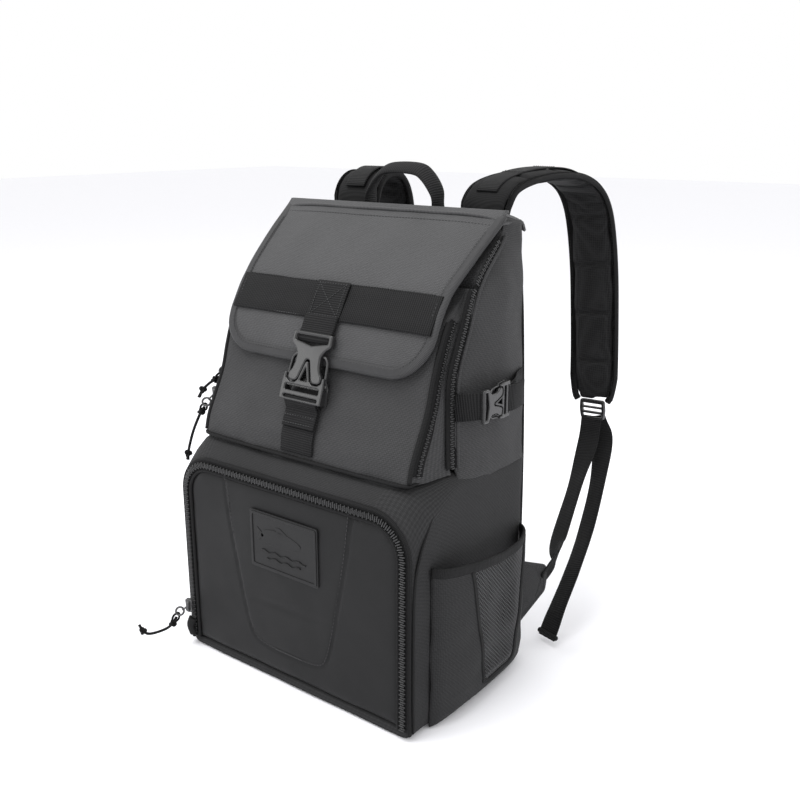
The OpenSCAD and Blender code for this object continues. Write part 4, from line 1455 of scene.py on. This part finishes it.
def wings():
    t = radians(18)
    for side, name in SIDES:
        along = Vector((side * sin(t), cos(t), 0))
        out = along.cross(Vector((0, 0, 1)))
        turn = Matrix((along, (0, 0, 1), out)).transposed().to_4x4()
        place = moved(side * (half_w - 1), back_y - 3, 0) @ turn
        outline = cornered([(0, 36), (36, 64), (38, 78), (36, 94), (0, 108)], 4)
        wing = plate(f"wing_{name}", [outline], 3.2, SIDE_CLOTH, place, 1.3, "pack_shell")
        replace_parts(wing, "strap_wings")
        rows = []
        for level in (-1.7, 1.7):
            for a, b in (((4, 44), (33, 66)), ((33, 66), (33, 92)), ((33, 92), (4, 101)),
                         ((22, 62), (33, 92)), ((33, 66), (22, 94))):
                rows.append([place @ Vector((*p, level)) for p in np.linspace(a, b, 12)])
        normals = [tuple(-out)] * 5 + [tuple(out)] * 5
        stitches(f"wing_stitches_{name}", rows, normals, "pack_shell", 3.2)


def back_pads():
    """Three foam pads in spacer mesh on the back"""
    low, high = box("back_pads")
    shapes = [(-68, 297, 94, 228, 11), (68, 297, 94, 228, 11), (0, 104, 230, 110, 13)]
    for k, (cx, cz, w, h, thick) in enumerate(shapes):
        rows = []
        for t in np.linspace(0, 1, 7):
            y = low.y - 0.5 + (thick - 2) * t
            inset = 2 + 7 * t ** 3
            outline = rectangle(w - 2 * inset, h - 2 * inset, 16, cx, cz, 7)
            rows.append([(x, y, z) for x, z in outline])
        pad = skin(f"back_pad_{k + 1}", rows, AIR_MESH, around=True, ends=True)
        inflate(pad, 3.0, 3.0, 6.0)
        co = np.array([v.co for v in pad.data.vertices]) / MM
        press = np.zeros(len(co))
        for groove in ((-1, 0, 1) if h > w else (0,)):
            press = np.maximum(press, np.exp(-((co[:, 2] - cz - groove * h / 4) / 4.5) ** 2))
        co[:, 1] -= np.maximum(0, co[:, 1] - low.y) * press * 0.45
        co[:, 1] = np.clip(co[:, 1], low.y - 0.3, high.y + 2)
        pad.data.vertices.foreach_set("co", (co * MM).astype(np.float32).ravel())
        pad.data.update()
        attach(pad, "pack_shell")
        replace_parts(pad, "back_pads")
        line = resample(rectangle(w + 2, h + 2, 17, cx, cz, 7), 4)
        line = [(x, back_y + 1.8, z) for x, z in line]
        sweep(f"back_pad_binding_{k + 1}", line, flat(5, 2.6), BINDING, "pack_shell",
              up=(0, 1, 0), around=True)


def yoke():
    low, high = box("harness_yoke")
    w, h = high.x - low.x, high.z - low.z
    place = moved(0, back_y + 1.9, (low.z + high.z) / 2) @ UPRIGHT
    panel = plate("yoke_panel", [rectangle(w, h, 5)], 3.2, FABRIC, place, 1.2, "pack_shell")
    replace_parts(panel, "harness_yoke")
    rows = [[(x, back_y + 3.6, z) for x in np.linspace(low.x + 4, high.x - 4, 40)]
            for z in (low.z + 3.5, high.z - 3.5)]
    stitches("yoke_stitches", rows, [(0, 1, 0)] * 2, "pack_shell")


def grab_handle():
    low, high = box("grab_handle")
    half, y, rise = high.x - 3, (low.y + high.y) / 2, high.z - 3
    route = [(-half, y, top_h - 1), (-half + 2, y, top_h + 14), (-half + 13, y, rise - 7),
             (-16, y, rise), (16, y, rise), (half - 13, y, rise - 7), (half - 2, y, top_h + 14),
             (half, y, top_h - 1)]
    line = smooth(route, 2.5)
    across, normal = frames(line, wide=(0, 0.88, 0.48))
    rows = []
    for i, point in enumerate(line):
        end = min(i, len(line) - 1 - i) / 9
        w = 10.5 - 0.6 * min(1, end)
        thick = 1.6 + 1.9 * min(1, end) ** 1.5
        rows.append([point + across[i] * a * w / 8 + normal[i] * b * thick / 8
                     for a, b in circle(8, 16)])
    handle = skin("grab_handle_loop", rows, WEBBING, "grab_handle", around=True, ends=True,
                  flip=True)
    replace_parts(handle, "grab_handle")
    rows = [[line[i] - normal[i] * 4.4 + across[i] * a for i in range(12, len(line) - 12)]
            for a in (-3, 3)]
    stitches("grab_handle_stitches", rows, [(0, 0, 1)] * 2, "grab_handle", 3.2)


front_section()
front_webbing()
flap()
top_of_bag()
buckles()
side_straps()
for side, name in SIDES:
    side_pocket(side, name)
    shoulder_strap(side, name)
loose_webbing()
wings()
back_pads()
yoke()
grab_handle()

# The rings and the two boards keep their exact CAD shape and get a real finish
for material, shown in ((METAL, ("door_pull_ring", "main_pull_ring", "pocket_pull_ring")),
                        (BOARD, ("base_board", "back_stiffener"))):
    for node_name in shown:
        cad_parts[node_name].data.materials.clear()
        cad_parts[node_name].data.materials.append(material)
